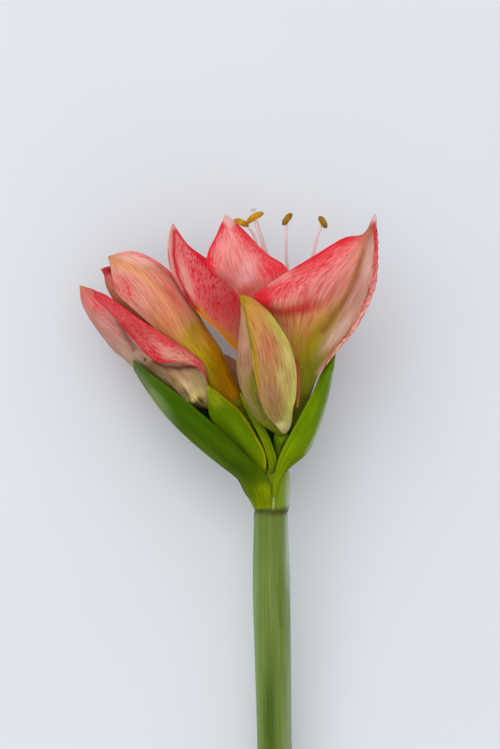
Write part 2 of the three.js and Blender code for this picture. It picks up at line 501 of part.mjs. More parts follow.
function threads(bloom, routes) {
  const axis = vector(bloom.throat).sub(vector(bloom.foot)).normalize();
  const seat = vector(bloom.throat).addScaledVector(axis, -1.6);
  const ring = new THREE.TorusGeometry(THREADS.ring, THREADS.girth, 5, 14);
  ring.applyQuaternion(new THREE.Quaternion().setFromUnitVectors(UP, axis));
  ring.translate(...seat.toArray());
  const side = axis.clone().cross(UP).normalize();
  const front = side.clone().cross(axis);
  const strands = routes.map((route) => {
    const aim = vector(route[0]).sub(seat);
    const out = side.clone().multiplyScalar(aim.dot(side)).addScaledVector(front, aim.dot(front));
    const root = seat.clone().addScaledVector(out.normalize(), THREADS.ring);
    const stations = [root.toArray(), ...route].map((point, i) => (
      [...point, THREADS.root - THREADS.thinning * i]
    ));
    return stalk(stations, 5, 8);
  });
  return joined([solidOf(ring), ...strands]);
}

function anther([tail, middle, head]) {
  return stalk([[...tail, 0.4], [...middle, 1.55, 1.35], [...head, 0.4]], 6, 4);
}

// An anther lies across the end of its thread, clear of it by the gap.
function crossAnther(route) {
  const tip = vector(route.at(-1));
  const along = tip.clone().sub(vector(route.at(-2))).normalize();
  const across = along.clone().cross(UP).normalize();
  const middle = tip.clone().addScaledVector(along, 1.5 + GAP);
  const tail = middle.clone().addScaledVector(across, -3.6).addScaledVector(along, 0.5);
  const head = middle.clone().addScaledVector(across, 3.6).addScaledVector(along, 0.5);
  return anther([tail.toArray(), middle.toArray(), head.toArray()]);
}

const flower = new THREE.Group();
flower.rotation.set(
  THREE.MathUtils.degToRad(LAY.pitch),
  THREE.MathUtils.degToRad(LAY.roll),
  0,
  'YXZ',
);
flower.position.set(...LAY.shift);
flower.updateMatrixWorld(true);

// The surface that the flower lies on, in the stem's frame: it leaves a small flat spot on each
// piece that rests on it.
const surface = new THREE.BoxGeometry(800, 800, 60);
surface.translate(0, 0, -30);
surface.applyMatrix4(flower.matrixWorld.clone().invert());
const surfaceSolid = solidOf(surface);

function place(name, solid, colour, roughness = 0.55) {
  const material = new THREE.MeshStandardMaterial({ color: colour, roughness, metalness: 0 });
  const mesh = new THREE.Mesh(geometryOf(solid), material);
  mesh.name = name;
  flower.add(mesh);
}

const rested = (solid) => solid.subtract(surfaceSolid);

place('stem', rested(stem()), COLOURS.stem);
place('spathe_left', blade(SPATHE_LEFT, { across: 8, along: 12, thick: LEAF }), COLOURS.spathe);
place('spathe_right', blade(SPATHE_RIGHT, { across: 6, along: 11, thick: LEAF }), COLOURS.spathe);
place('bract_broad', blade(BRACT_BROAD, { across: 6, along: 8, thick: LEAF }), COLOURS.bract);
place('bract_narrow', blade(BRACT_NARROW, { across: 4, along: 7, thick: LEAF }), COLOURS.bract);
place('bract_rear', blade(BRACT_REAR, { across: 4, along: 7, thick: LEAF }), COLOURS.bract);
place('flower_stalk_right', stalk(STALK_RIGHT), COLOURS.stalk);
place('flower_stalk_left', stalk(STALK_LEFT), COLOURS.stalk);
place('flower_stalk_front_bud', stalk(STALK_FRONT_BUD), COLOURS.stalk);
place('flower_stalk_rear_bud', stalk(STALK_REAR_BUD), COLOURS.stalk);
place('bloom_right', rested(rightBloom()), COLOURS.petal);
place('bloom_left', rested(leftBloom()), COLOURS.petal);
place('bud_front', bud(FRONT_BUD, 18), COLOURS.bud);
place('bud_rear', bud(REAR_BUD, 12), COLOURS.bud);
place('threads_right', threads(RIGHT_BLOOM, RIGHT_THREADS), COLOURS.filament);
place('threads_left', threads(LEFT_BLOOM, LEFT_THREADS), COLOURS.filament);
place('style_right', stalk(RIGHT_STYLE, 6, 12), COLOURS.style);
place('style_left', stalk(LEFT_STYLE, 6, 10), COLOURS.style);
RIGHT_ANTHERS.forEach((line, i) => place(`anther_right_${i + 1}`, anther(line), COLOURS.anther, 0.8));
LEFT_THREADS.forEach((route, i) => (
  place(`anther_left_${i + 1}`, crossAnther(route), COLOURS.anther, 0.8)
));

export default flower;
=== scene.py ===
"""Looks of a cut amaryllis flower lying on its back: stem, leaves, two open blooms and two buds.

Shapes are given in the stem's own frame in millimetres, with X across the stem, Y up the stem
from the foot of the flower head and Z toward the side that faces up. They are then laid on the
floor.
"""

import logging
import math
from dataclasses import dataclass, replace
from enum import Enum
from typing import Callable

import bpy
import numpy as np
from mathutils import Matrix, Vector


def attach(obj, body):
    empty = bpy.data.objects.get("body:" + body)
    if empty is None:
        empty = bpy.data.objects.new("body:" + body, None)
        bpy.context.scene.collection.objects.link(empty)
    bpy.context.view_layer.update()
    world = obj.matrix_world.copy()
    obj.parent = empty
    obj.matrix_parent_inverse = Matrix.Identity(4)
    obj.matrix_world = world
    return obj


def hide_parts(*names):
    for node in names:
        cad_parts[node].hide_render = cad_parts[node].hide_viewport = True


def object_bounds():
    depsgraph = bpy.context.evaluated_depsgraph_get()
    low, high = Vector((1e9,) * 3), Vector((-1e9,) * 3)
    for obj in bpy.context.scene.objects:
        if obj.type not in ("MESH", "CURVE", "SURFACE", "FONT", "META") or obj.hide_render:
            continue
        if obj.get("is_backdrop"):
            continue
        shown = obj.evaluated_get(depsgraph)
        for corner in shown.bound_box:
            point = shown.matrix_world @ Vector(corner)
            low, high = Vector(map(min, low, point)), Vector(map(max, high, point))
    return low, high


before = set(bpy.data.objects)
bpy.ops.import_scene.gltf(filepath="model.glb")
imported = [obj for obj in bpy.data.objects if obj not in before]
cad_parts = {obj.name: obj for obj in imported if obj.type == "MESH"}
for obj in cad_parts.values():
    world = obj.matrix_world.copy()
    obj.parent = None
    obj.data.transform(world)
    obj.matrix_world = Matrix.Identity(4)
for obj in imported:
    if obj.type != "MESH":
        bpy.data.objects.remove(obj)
CAD_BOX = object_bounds()

logging.basicConfig(level=logging.INFO, format="%(message)s")
log = logging.getLogger("amaryllis")

MM = 0.001
PITCH, ROLL = math.radians(8.2), math.radians(-5.6)
SHIFT = np.array([26.39, 43.28, 44.3])
UP = np.array([0.0, 0.0, 1.0])
# Samples on a path that is measured, and the step along it, from 0 to 1, that gives its direction.
PATH_SAMPLES = 600
PATH_STEP = 1e-4
# Step across a sheet, from 0 to 1, that gives the way it faces.
SHEET_STEP = 0.01
# Points closer than this, in metres, are welded.
WELD = 1e-6
# How far, in mm across and along, one blade's or rod's vein pattern lies from the next one's.
BLADE_SHIFT = (150, 90)
ROD_SHIFT = (60, 40)
# Where nearly all of a noise lies, and where a vein starts to darken the skin.
NOISE_SPAN = (0.3, 0.7)
VEIN_FROM = 0.3
# Finer detail of each noise, and a shift that keeps its pattern apart from the others.
VEIN_NOISE, CLOUD_NOISE, DASH_NOISE, BLOTCH_NOISE = (2.0, 0.0), (3.0, 3.1), (1.0, 7.3), (2.0, 5.9)
# Length of a cloud, and width and length of a blotch, as shares of the mottle's size.
CLOUD_LONG, BLOTCH_WIDE, BLOTCH_LONG = 2.5, 0.6, 1.3
# Turns of a pucker across a blade and half turns along it, from the least to the most.
PUCKERS_ACROSS, PUCKERS_ALONG = (1, 5), (5, 22)
# Where a blade starts to thin toward its tip, and the share of its wall that it keeps anywhere.
TIP_FROM = 0.75
LEAST_WALL = 0.3

Point = tuple[float, ...]
Net = tuple[tuple[Point, ...], ...]
Socket = bpy.types.NodeSocket


class Slot(Enum):
    """Material slots, by their names."""

    STEM = "stem_skin"
    SPATHE = "spathe_leaf"
    BRACT = "bract_leaf"
    STALK = "flower_stalk_skin"
    PETAL = "petal"
    BUD = "bud_petal"
    FILAMENT = "filament"
    STYLE = "style"
    ANTHER = "anther"


class Face(Enum):
    """The two faces of a blade, by the vertex attribute that holds their pigment."""

    OUTER = "pigment_outer"
    INNER = "pigment_inner"


# ---- where everything is, root to tip, in the stem's frame in mm ---------------------------------
# A blade's rows run from its root to its tip, and each row from its left edge to its right edge as
# seen from outside. Stations of round pieces are x, y, z, half width and half depth.

SPATHE_LEFT = (
    ((-0.9, -1.6, -9.3), (-6.8, -1.6, -6.4), (-9.2, -1.6, 0), (-6.8, -1.6, 6.4), (-0.5, -1.2, 9.3)),
    ((-0.9, 3.4, -10.3), (-8, 3, -7.8), (-11.6, 3, 0), (-8, 3, 7.8), (-0.6, 4, 10.3)),
    ((-1, 10, -11.3), (-10.2, 8.5, -9.5), (-14.9, 8, 0), (-10.4, 8.5, 9.5), (-0.9, 12, 11.3)),
    ((-6, 20, -13.5), (-15.2, 17, -11.5), (-19.2, 15.5, 0), (-15.2, 17, 11.5), (-5.2, 19.2, 13.8)),
    ((-13, 35, -14), (-26.5, 26.5, -11.5), (-30, 24, 0), (-26.5, 26.3, 11.5), (-16, 29.8, 16.4)),
    ((-28, 52, -13.5), (-42, 41, -10.8), (-46, 37.5, 0), (-42.5, 40.3, 11), (-32, 45, 17)),
    ((-48, 58.2, -15), (-56.4, 54, -10.5), (-60, 52, 1), (-57, 54.5, 9.5), (-47.5, 58.2, 14.5)),
    ((-61, 63.8, -9.5), (-66.8, 65, -4.5), (-71, 67.6, 2.5), (-69.2, 69, 6.5), (-63.5, 70.6, 9.8)),
    ((-74.4, 73.2, 1.2), (-74.7, 73.6, 2.8), (-74.5, 74.2, 4.6), (-72.8, 74.8, 7),
     (-69.7, 75.2, 9)),
    ((-75.9, 79.6, 4.8), (-76.1, 80, 5), (-76.1, 80.2, 5.3), (-75.8, 79.9, 5.7), (-75.4, 79.5, 6)),
)
SPATHE_RIGHT = (
    ((0.5, 5, 10.4), (1.2, 5, 10.5), (2, 6, 10.4)),
    ((0.6, 13, 11.6), (2.5, 13.2, 11.8), (4.4, 14.5, 11.2)),
    ((2.2, 21, 13.1), (6, 21, 13), (9.5, 20.8, 9.8)),
    ((5, 30, 14.8), (11, 29.5, 13.4), (19.2, 29.2, 7)),
    ((10.3, 40.5, 15.8), (17, 40, 13), (24.5, 39.8, 5)),
    ((16.3, 51.5, 13.5), (22.5, 51, 11), (28.4, 50.8, 2)),
    ((22.3, 62.5, 9), (27.2, 62, 7), (31.3, 62, 0)),
    ((27.1, 73, 0.2), (30.5, 73, 1.8), (33.3, 73, -2.6)),
    ((32, 80.5, -3.6), (33.4, 81, -3), (34.5, 80.5, -4.4)),
    ((34.6, 84, -4.8), (34.9, 84.2, -4.8), (35.2, 84, -4.8)),
)
BRACT_BROAD = (
    ((-8.6, 17.2, 6.6), (-6, 17.6, 8.4), (-3, 18, 9.6)),
    ((-16, 28, 9), (-10.5, 28.5, 12), (-3.9, 29, 12.2)),
    ((-28, 40.6, 10.6), (-18.5, 41, 14.2), (-10, 41, 13)),
    ((-34.2, 49.4, 12.6), (-25, 50.5, 15.8), (-16.5, 51, 13.8)),
    ((-34.8, 57, 15.2), (-29.5, 58, 16.6), (-24, 57.8, 14.8)),
    ((-35.3, 62.5, 17.6), (-33.3, 62.8, 18), (-31, 63.6, 17)),
    ((-35.3, 66.2, 19.6), (-35, 66.6, 19.6), (-34.6, 66.2, 19.6)),
)
BRACT_NARROW = (
    ((-2.1, 18.4, 10), (-0.7, 18.6, 10.2), (0.7, 18.6, 10)),
    ((-2.2, 24.5, 12.3), (0.2, 24.5, 12.8), (2.5, 24.5, 12.2)),
    ((-5, 34, 12.8), (-2.4, 34.3, 13.5), (-0.1, 34.2, 12.8)),
    ((-10.3, 45, 12.6), (-8, 45.7, 13.4), (-5.8, 46, 12.6)),
    ((-15.4, 55, 12), (-14, 55.3, 12.5), (-12.7, 55.3, 12)),
    ((-17.6, 61.8, 11.5), (-17.4, 62.2, 11.5), (-17.1, 61.8, 11.5)),
)
BRACT_REAR = (
    ((7.2, 18, -7.9), (2.4, 18.2, -10.1), (-3.6, 18, -9.6)),
    ((11, 29, -12), (3, 30, -15), (-5.6, 29, -14.4)),
    ((13.5, 41, -15), (4, 42, -19.5), (-7, 41, -19.5)),
    ((11.5, 52, -19.5), (5, 53, -22.6), (-3.5, 52, -22.4)),
    ((6, 60.5, -26), (5.4, 61, -26.4), (4.8, 60.5, -26)),
)
STALK_RIGHT = (
    (4.4, 20.35, -3.4, 3.1), (4.4, 24, -3.4, 3), (7, 31, -4.6, 3.1), (9.8, 38, -4, 4),
    (11.6, 43.5, -0.8, 5.6), (12, 48.2, 0.4, 4.6),
)
STALK_LEFT = (
    (-3.8, 20.35, -0.6, 3), (-3.8, 24, -0.6, 2.9), (-7.4, 31, -1.8, 3.1), (-11, 37, -1.4, 4.2),
    (-13.8, 42.3, 0.2, 5.4), (-15.2, 45.6, 0.7, 4.6),
)
STALK_FRONT_BUD = (
    (2.6, 20.35, 4.6, 2.6), (2.6, 23.4, 4.6, 2.5), (3.4, 28.4, 6.6, 2.7), (4.4, 33.4, 8.8, 3.7),
    (5, 37, 11.2, 4), (5.2, 39.7, 13.5, 3.4),
)
STALK_REAR_BUD = (
    (-2.6, 20.35, -5.9, 2.3), (-2.6, 23.4, -5.9, 2.2), (-4.8, 29.4, -11, 2.3),
    (-6.8, 35, -14.4, 3.1),
    (-8.2, 39.4, -16.6, 3.6), (-9, 42.8, -17.8, 3),
)
FRONT_BUD = (
    (5.5, 41.4, 14.9, 3.4, 3.4), (3.6, 46.5, 18, 7.2, 6.8), (0.3, 54, 21.5, 11.6, 10.2),
    (-1.6, 63, 25.4, 14.2, 12.4), (-3.2, 73, 28.8, 15.5, 13.2), (-4.9, 84, 31.6, 14.6, 12.6),
    (-7, 94, 33.8, 11.6, 10.6), (-9.9, 103.4, 35, 7.8, 7.6), (-13.6, 110.8, 35.3, 3.8, 4),
    (-17.2, 115.4, 36, 0.7, 0.7),
)
TUCKED_EDGE = (
    ((13.4, 54.5, 24.5), (13.8, 54.5, 24.2), (14.1, 54.5, 23.9)),
    ((13.4, 60, 26), (14.5, 60, 25.8), (15, 60, 24.6)),
    ((13.2, 68, 27), (14.7, 68, 26.6), (15.4, 68, 25)),
    ((12.6, 76, 28), (14.1, 76, 27.6), (14.8, 76, 26)),
    ((11.2, 82, 29), (12.6, 82, 28.6), (13.2, 82, 27.4)),
    ((10.4, 86.5, 29.6), (10.9, 86.7, 29.4), (11.2, 86.5, 29)),
)
REAR_BUD = (
    (-9.2, 43.4, -18.2, 2.8, 2.8), (-11.4, 49, -20.4, 5.4, 5.2), (-15, 57.5, -23.5, 7.6, 7),
    (-19, 66.5, -26.6, 7.8, 7), (-22.6, 74.5, -29.4, 6, 5.4), (-25.2, 80, -31.6, 3, 2.8),
    (-26.6, 83, -33, 0.6, 0.6),
)
RIGHT_FRONT_LEFT = (
    ((6.5, 58, 5.5), (9.2, 58, 7.6), (12.5, 58, 8.4)),
    ((-2, 72, 8), (4, 72, 11), (11, 72, 12)),
    ((-7, 88, 10.5), (1, 88, 13), (12, 88, 14.5)),
    ((-12, 104, 12.5), (-4, 104, 16), (12, 104, 16.5)),
    ((-21.5, 119, 15), (-9, 118.5, 19.5), (10.5, 119, 18.4)),
    ((-34.4, 130, 16.4), (-14, 130, 22), (7.4, 131, 17.6)),
    ((-35, 139, 17), (-17, 139, 22.8), (-2.6, 138.8, 17.8)),
    ((-30.4, 149.5, 16.8), (-21, 149.5, 20.8), (-13.8, 149.4, 17.2)),
    ((-26.8, 157, 15.6), (-24, 157, 17.2), (-21.2, 156.8, 15.8)),
    ((-25.8, 159.4, 15.4), (-25, 159.8, 15.6), (-24.2, 159.4, 15.4)),
)
RIGHT_FRONT_RIGHT = (
    ((11.7, 59, 8.3), (14.6, 59, 8.2), (17.3, 59, 7), (19.3, 59, 5), (20.4, 59, 2.3)),
    ((3, 74, 13.6), (11, 74, 15), (19.5, 74.5, 13), (24, 74, 9.5), (26.4, 73.4, 5)),
    ((-3, 86, 17), (10, 87, 19), (23.2, 89, 17), (31, 87.5, 12), (36.5, 87, 6)),
    ((-9, 100, 21), (9, 101, 22.5), (29.5, 102, 21.5), (39, 99.5, 15), (46.2, 98.5, 8)),
    ((-11.6, 112.4, 27), (8, 113, 28), (36, 114, 23.5), (46, 112, 16.5), (53.4, 113, 9.5)),
    ((-3, 121.2, 24.5), (16, 124, 25.5), (43, 127, 25), (51.2, 125, 18.5), (56.8, 123.5, 12)),
    ((14, 131.6, 20.6), (32, 136, 23), (48.3, 137.5, 24.5), (53.6, 136, 20), (57.2, 136, 14.5)),
    ((37, 146, 18.6), (44, 144.6, 21.5), (51, 145, 23.8), (54.8, 144, 20), (57.2, 144, 16)),
    ((49.8, 149.2, 18.8), (51.6, 150, 21.3), (53.6, 151.4, 22.4), (55.8, 151.5, 20.4),
     (57.2, 151.6, 17.6)),
    ((55.6, 159, 19), (55.9, 159.7, 19.2), (56.4, 160.2, 19.3), (56.9, 159.8, 19.1),
     (57.2, 159.2, 18.8)),
)
RIGHT_WING = (
    ((6.8, 58, -3.3), (5.7, 58, -1), (5.5, 58, 1.7), (6.1, 58, 4), (7.2, 58, 5.9)),
    ((-4, 76, -7), (-7, 75.5, -3), (-9, 74.5, 1), (-8.6, 73.5, 4.5), (-6, 72.5, 7)),
    ((-10, 92, -13), (-14, 91, -5), (-18, 88.5, 2), (-20, 87, 5), (-19.4, 85.4, 8)),
    ((-9, 103, -20), (-19, 101, -8), (-28, 97.5, 3), (-28.8, 96.3, 6), (-28.6, 95.2, 8.5)),
    ((-9, 111, -23), (-27, 109.5, -8), (-38, 106.5, 4), (-39.2, 105.2, 7), (-39.6, 104.6, 9)),
    ((-18, 121.5, -22), (-36, 119.5, -5.5), (-46, 116, 5), (-47.4, 115.8, 7.5),
     (-48.4, 116.8, 9.5)),
    ((-31, 133, -15), (-45, 131, -2.5), (-52, 128, 5), (-54, 127.8, 7.5), (-55.4, 128.6, 9)),
    ((-44, 141.5, -6), (-49, 140.7, -0.5), (-54.3, 140, 5), (-56, 140, 7), (-57.2, 139.5, 8.5)),
    ((-50, 148.6, -1), (-52.5, 148.6, 2), (-55, 148.6, 4.5), (-56, 148.4, 6), (-56.8, 148, 7)),
    ((-54, 154.8, 3), (-54.3, 155.1, 3.3), (-54.6, 155.2, 3.6), (-54.9, 155, 3.8),
     (-55.2, 154.6, 4)),
)
RIGHT_SIDE = (
    (20, 58, 0), (24, 74, -3), (31, 88, -8), (40, 103, -14), (46, 119, -21), (46, 131, -29),
)
RIGHT_BACK = (
    (16, 58, -5.8), (17.5, 74, -15), (17, 90, -28), (14, 104, -43), (9, 114, -56), (6, 118, -63),
)
RIGHT_BACK_LEFT = (
    (8.7, 58, -5), (0, 74, -12), (-11, 90, -22), (-23, 105, -33), (-33, 117, -43), (-38, 124, -51),
)
LEFT_UPPER = (
    ((-21.9, 50.6, 7.4), (-20.5, 51.8, 8.2), (-19, 53, 8.5), (-16, 55.5, 7.2), (-13.6, 57.5, 3.8)),
    ((-31, 60, 9.5), (-29, 61.5, 10.8), (-26.5, 63.5, 11), (-23, 66.5, 8.5), (-20.5, 69, 4.5)),
    ((-40, 71, 12.5), (-37, 73, 15), (-34, 75.5, 15.5), (-29, 77.5, 11.5), (-25.2, 79, 5)),
    ((-50, 83, 15), (-46, 84, 18), (-42, 85.5, 18.8), (-35, 87, 13.5), (-30, 89, 4)),
    ((-62, 95, 15.5), (-56, 96, 19.5), (-50.5, 96.5, 20.5), (-42.5, 97.5, 14), (-37.3, 100.5, 3)),
    ((-74, 106, 13.5), (-66, 108.5, 18.5), (-58.5, 111, 20.5), (-50, 112, 13), (-45.5, 113.5, 1.5)),
    ((-85, 117, 10), (-75.5, 120, 15.5), (-67, 123, 17.5), (-59.5, 125, 10.5), (-54.8, 127.2, 0)),
    ((-88, 127, 7.5), (-82, 129, 11), (-76, 131.3, 12), (-70, 134.2, 7), (-66, 136, 0.5)),
    ((-88.7, 133.2, 4), (-86, 133.9, 6), (-83, 135.3, 6.8), (-79.5, 138, 4.5), (-77.5, 140, 2)),
    ((-89.6, 136.2, 2), (-89.9, 136.6, 2), (-90.2, 136.8, 2), (-89.6, 137.3, 2), (-88.9, 137.7, 2)),
)
LEFT_LOWER = (
    ((-21, 51.2, -5.5), (-24, 49, -2), (-24.6, 48.6, 2), (-23.6, 49.4, 5), (-22, 50.8, 6.6)),
    ((-31, 57, -8), (-35.5, 53.5, -3), (-36.5, 54, 4), (-34.5, 57.5, 10), (-32.5, 60.5, 12.2)),
    ((-44, 58.5, -9), (-49, 55.5, -4), (-47, 62, 8.5), (-38, 76.4, 17), (-38.6, 74.2, 19.6)),
    ((-57, 65.5, -9), (-60.4, 65, -4), (-58.5, 71, 9), (-47.5, 85.6, 19), (-48.5, 78.8, 23.5)),
    ((-71.5, 76.5, -7), (-76.8, 77, -3), (-73.5, 84, 8), (-62, 95.4, 19), (-63.5, 79.3, 24)),
    ((-85, 84, -7), (-88, 89, -1), (-85, 95, 8.5), (-77.5, 105.8, 16.5), (-76.5, 92, 21.5)),
    ((-96.5, 97.5, -4), (-98.5, 101.5, 1), (-96, 105.5, 7.5), (-90, 114.8, 12), (-87, 104, 16.5)),
    ((-103.3, 109.5, -1), (-104.2, 112, 2), (-102.6, 114.4, 5.2), (-98.5, 118.9, 7.2),
     (-96, 113.3, 9.5)),
    ((-105.6, 120.2, 1), (-105.7, 121, 1.4), (-105.3, 121.3, 2), (-104.8, 121, 2.6),
     (-104.2, 120.4, 3)),
)
LEFT_INNER = (
    ((-24.8, 49.6, 4.8), (-21.6, 51, 8), (-15.4, 55.8, 6.8)),
    ((-45, 72, 4), (-39, 77, 10), (-31, 82, 3)),
    ((-66, 92, 4), (-58, 99, 11.5), (-48, 105, 2)),
    ((-83, 108, 4), (-76, 115, 9.5), (-65, 121, 1)),
    ((-90.8, 120, 4), (-86.5, 122.5, 6.5), (-78, 129, 1)),
    ((-92.4, 127, 4.6), (-90.2, 128.6, 5), (-86, 132, 2)),
    ((-94.3, 130, 4), (-94, 130.4, 4), (-93.6, 130.8, 3.8)),
)
LEFT_TOP_BACK = (
    (-14.5, 57.5, -3), (-25, 75, -7), (-36, 91, -11), (-49, 107, -15), (-62, 119, -18),
    (-75, 127, -19),
)
LEFT_BACK = (
    (-17, 55, -6), (-30, 70, -16), (-43, 84, -26), (-57, 97, -35), (-70, 107, -42), (-81, 113, -47),
)
LEFT_LOW_BACK = (
    (-21.5, 51, -5), (-36, 63, -14), (-52, 76, -24), (-67, 87, -34), (-79, 95, -43),
    (-88, 100, -51),
)
RIGHT_THREADS = (
    ((8, 84, 2), (-2, 118, -4), (-9, 146, -7.6), (-12.8, 153.3, -8.1)),
    ((11, 84, 5), (1, 120, 2), (-6, 146, -3.5), (-9.1, 157.3, -5)),
    ((13, 84, 3), (11, 110, -3), (7.9, 138, -8.5), (8.2, 155.4, -10.2)),
    ((15, 84, 2), (18, 112, -4), (23.5, 142, -8.5), (27.2, 154.5, -9.2)),
    ((11, 80, -4), (6, 98, -11), (1, 112, -16), (-2.1, 120.3, -17.8)),
    ((14, 80, -5), (15, 98, -14), (14, 111, -20), (13, 118, -23)),
)
RIGHT_ANTHERS = (
    ((-21, 157.4, -8.6), (-17, 156.2, -8), (-12.8, 154, -8)),
    ((-14, 155.6, -5), (-9.6, 159.2, -4.4), (-4.6, 161.3, -5)),
    ((6, 154.6, -9), (8.4, 158.2, -8.6), (11, 161, -9)),
    ((26, 159.4, -8.4), (28, 156.6, -8), (30, 153, -8.4)),
    ((-5.6, 120.6, -17.8), (-2.6, 122.2, -17), (1.4, 122.8, -17.8)),
    ((9.8, 121, -23.6), (12.8, 120.2, -22.4), (16.6, 119.6, -23)),
)
RIGHT_STYLE = (
    (12.5, 55.8, 0.7, 1.3), (10.8, 80, 0.2, 1.25), (6, 106, -5, 1.2), (-2, 136, -10, 1.2),
    (-7.4, 152, -12, 1.15), (-10.4, 163.6, -12, 1.5),
)
LEFT_THREADS = (
    ((-37, 76, 5), (-52, 93, 6), (-66, 105, 3), (-74, 111, 1)),
    ((-36, 76, 2), (-53, 90, 2), (-68, 101, 0), (-78, 106, -2)),
    ((-35, 75, -3), (-51, 88, -6), (-66, 98, -9), (-76, 103, -12)),
    ((-33, 77, -5), (-47, 92, -9), (-60, 105, -13), (-68, 111, -16)),
    ((-32, 79, 1), (-45, 96, 0), (-58, 109, -3), (-67, 116, -6)),
    ((-35, 74, -6), (-49, 85, -12), (-62, 93, -18), (-70, 97, -22)),
)
LEFT_STYLE = (
    (-18.4, 51.4, 0.8, 1.2), (-34, 75.5, 0, 1.2), (-52, 94, -3, 1.15), (-70, 108, -7, 1.1),
    (-83, 114, -10, 1.4),
)

HIDDEN_PETAL_HALVES = (4.4, 9.5, 14.5, 17.5, 17, 12.5, 6.5, 0.7)


# ---- curves and sheets ---------------------------------------------------------------------------


def laid(points: np.ndarray) -> np.ndarray:
    """Turns points of the stem's frame, in mm, to where they lie on the floor, in metres."""
    cp, sp, cr, sr = math.cos(PITCH), math.sin(PITCH), math.cos(ROLL), math.sin(ROLL)
    pitch = np.array([[1, 0, 0], [0, cp, -sp], [0, sp, cp]])
    roll = np.array([[cr, 0, sr], [0, 1, 0], [-sr, 0, cr]])
    return (np.asarray(points, float) @ (roll @ pitch).T + SHIFT) * MM


def spline(stations: np.ndarray, at: np.ndarray) -> np.ndarray:
    """Runs a smooth curve through stations, along their first axis.

    Args:
        stations: Two or more stations, each of any shape.
        at: Places from 0 at the first station to 1 at the last.

    Returns:
        The curve at those places.
    """
    first, last = 2 * stations[:1] - stations[1:2], 2 * stations[-1:] - stations[-2:-1]
    padded = np.concatenate([first, stations, last])
    place = np.asarray(at) * (len(stations) - 1)
    index = np.clip(np.floor(place), 0, len(stations) - 2).astype(int)
    w = (place - index).reshape((-1,) + (1,) * (stations.ndim - 1))
    p0, p1, p2, p3 = (padded[index + i] for i in range(4))
    cubic = 3 * p1 - p0 - 3 * p2 + p3
    return 0.5 * (2 * p1 + (p2 - p0) * w + (2 * p0 - 5 * p1 + 4 * p2 - p3) * w**2 + cubic * w**3)


def unit(vectors: np.ndarray) -> np.ndarray:
    """Scales vectors to a length of one."""
    return vectors / np.maximum(np.linalg.norm(vectors, axis=-1, keepdims=True), 1e-9)


def sheet(net: np.ndarray, u: np.ndarray, v: np.ndarray) -> np.ndarray:
    """Spans a smooth sheet through a net.

    Args:
        net: Rows from root to tip, each from the left edge to the right as seen from outside.
        u: Places across, from 0 to 1.
        v: Places along, from 0 to 1.

    Returns:
        The points, by place across and then by place along.
    """
    return spline(spline(net, v).swapaxes(0, 1), u)


def sheet_normals(net: np.ndarray, u: np.ndarray, v: np.ndarray) -> np.ndarray:
    """The outward directions of a sheet at the same places as its points."""
    left, right = np.maximum(u - SHEET_STEP, 0), np.minimum(u + SHEET_STEP, 1)
    low, high = np.maximum(v - SHEET_STEP, 0), np.minimum(v + SHEET_STEP, 1)
    across = sheet(net, right, v) - sheet(net, left, v)
    return unit(np.cross(across, sheet(net, u, high) - sheet(net, u, low)))


def steps_of(points: np.ndarray) -> np.ndarray:
    """Lengths of the steps between points that follow each other on the first axis."""
    return np.linalg.norm(np.diff(points, axis=0), axis=-1)


def path_ways(stations: np.ndarray, t: np.ndarray) -> np.ndarray:
    """The directions of a path at places from 0 to 1."""
    return unit(spline(stations, t + PATH_STEP) - spline(stations, t - PATH_STEP))


def round_axis(axis: np.ndarray) -> tuple[np.ndarray, np.ndarray]:
    """Side and front directions square to an axis that doesn't run straight up."""
    side = unit(np.cross(axis, UP))
    return side, np.cross(side, axis)


def even_steps(stations: np.ndarray, count: int) -> np.ndarray:
    """Places on a path that are the same length apart."""
    fine = np.linspace(0, 1, PATH_SAMPLES)
    gone = np.concatenate([[0], np.cumsum(steps_of(spline(stations, fine)))])
    return np.interp(np.linspace(0, gone[-1], count), gone, fine)


def path_frame(stations: np.ndarray, t: np.ndarray) -> tuple[np.ndarray, ...]:
    """Centre, side, front and along directions on a path that never runs straight up."""
    along = path_ways(stations, t)
    front = unit(UP - along * (along @ UP)[:, None])
    return spline(stations, t), np.cross(along, front), front, along


def linear(colour: str) -> tuple[float, float, float]:
    """Turns an sRGB hex colour to linear red, green and blue."""
    parts = [int(colour[i : i + 2], 16) / 255 for i in (1, 3, 5)]
    return tuple(c / 12.92 if c <= 0.04045 else ((c + 0.055) / 1.055) ** 2.4 for c in parts)


# ---- pigment -------------------------------------------------------------------------------------


@dataclass(frozen=True)
class Blush:
    """A soft patch of pigment: its middle and half sizes in mm, and its turn from X in degrees.

    dashes makes the red dashes there denser, or thinner if it is negative.
    """

    x: float
    y: float
    long: float
    wide: float
    turn: float = 0.0
    colour: str = ""
    strength: float = 1.0
    dashes: float = 0.0
    sharp: float = 1.4

    def mask(self, points: np.ndarray, u: np.ndarray, v: np.ndarray) -> np.ndarray:
        """How strongly the patch covers each point, from 0 to 1."""
        dx, dy = points[..., 0] - self.x, points[..., 1] - self.y
        c, s = math.cos(math.radians(self.turn)), math.sin(math.radians(self.turn))
        away = ((dx * c + dy * s) / self.long) ** 2 + ((dy * c - dx * s) / self.wide) ** 2
        return np.exp(-(away**self.sharp))


@dataclass(frozen=True)
class Stripe:
    """A band of pigment that keeps to one place across a blade, from v0 to v1 along it."""

    u: float
    half: float
    v0: float
    v1: float
    colour: str = ""
    strength: float = 1.0
    dashes: float = 0.0
    fade: float = 0.08

    def mask(self, points: np.ndarray, u: np.ndarray, v: np.ndarray) -> np.ndarray:
        """How strongly the band covers each place, from 0 to 1."""
        ends = np.clip((v - self.v0) / self.fade, 0, 1) * np.clip((self.v1 - v) / self.fade, 0, 1)
        return np.exp(-(((u - self.u) / self.half) ** 2)) * ends


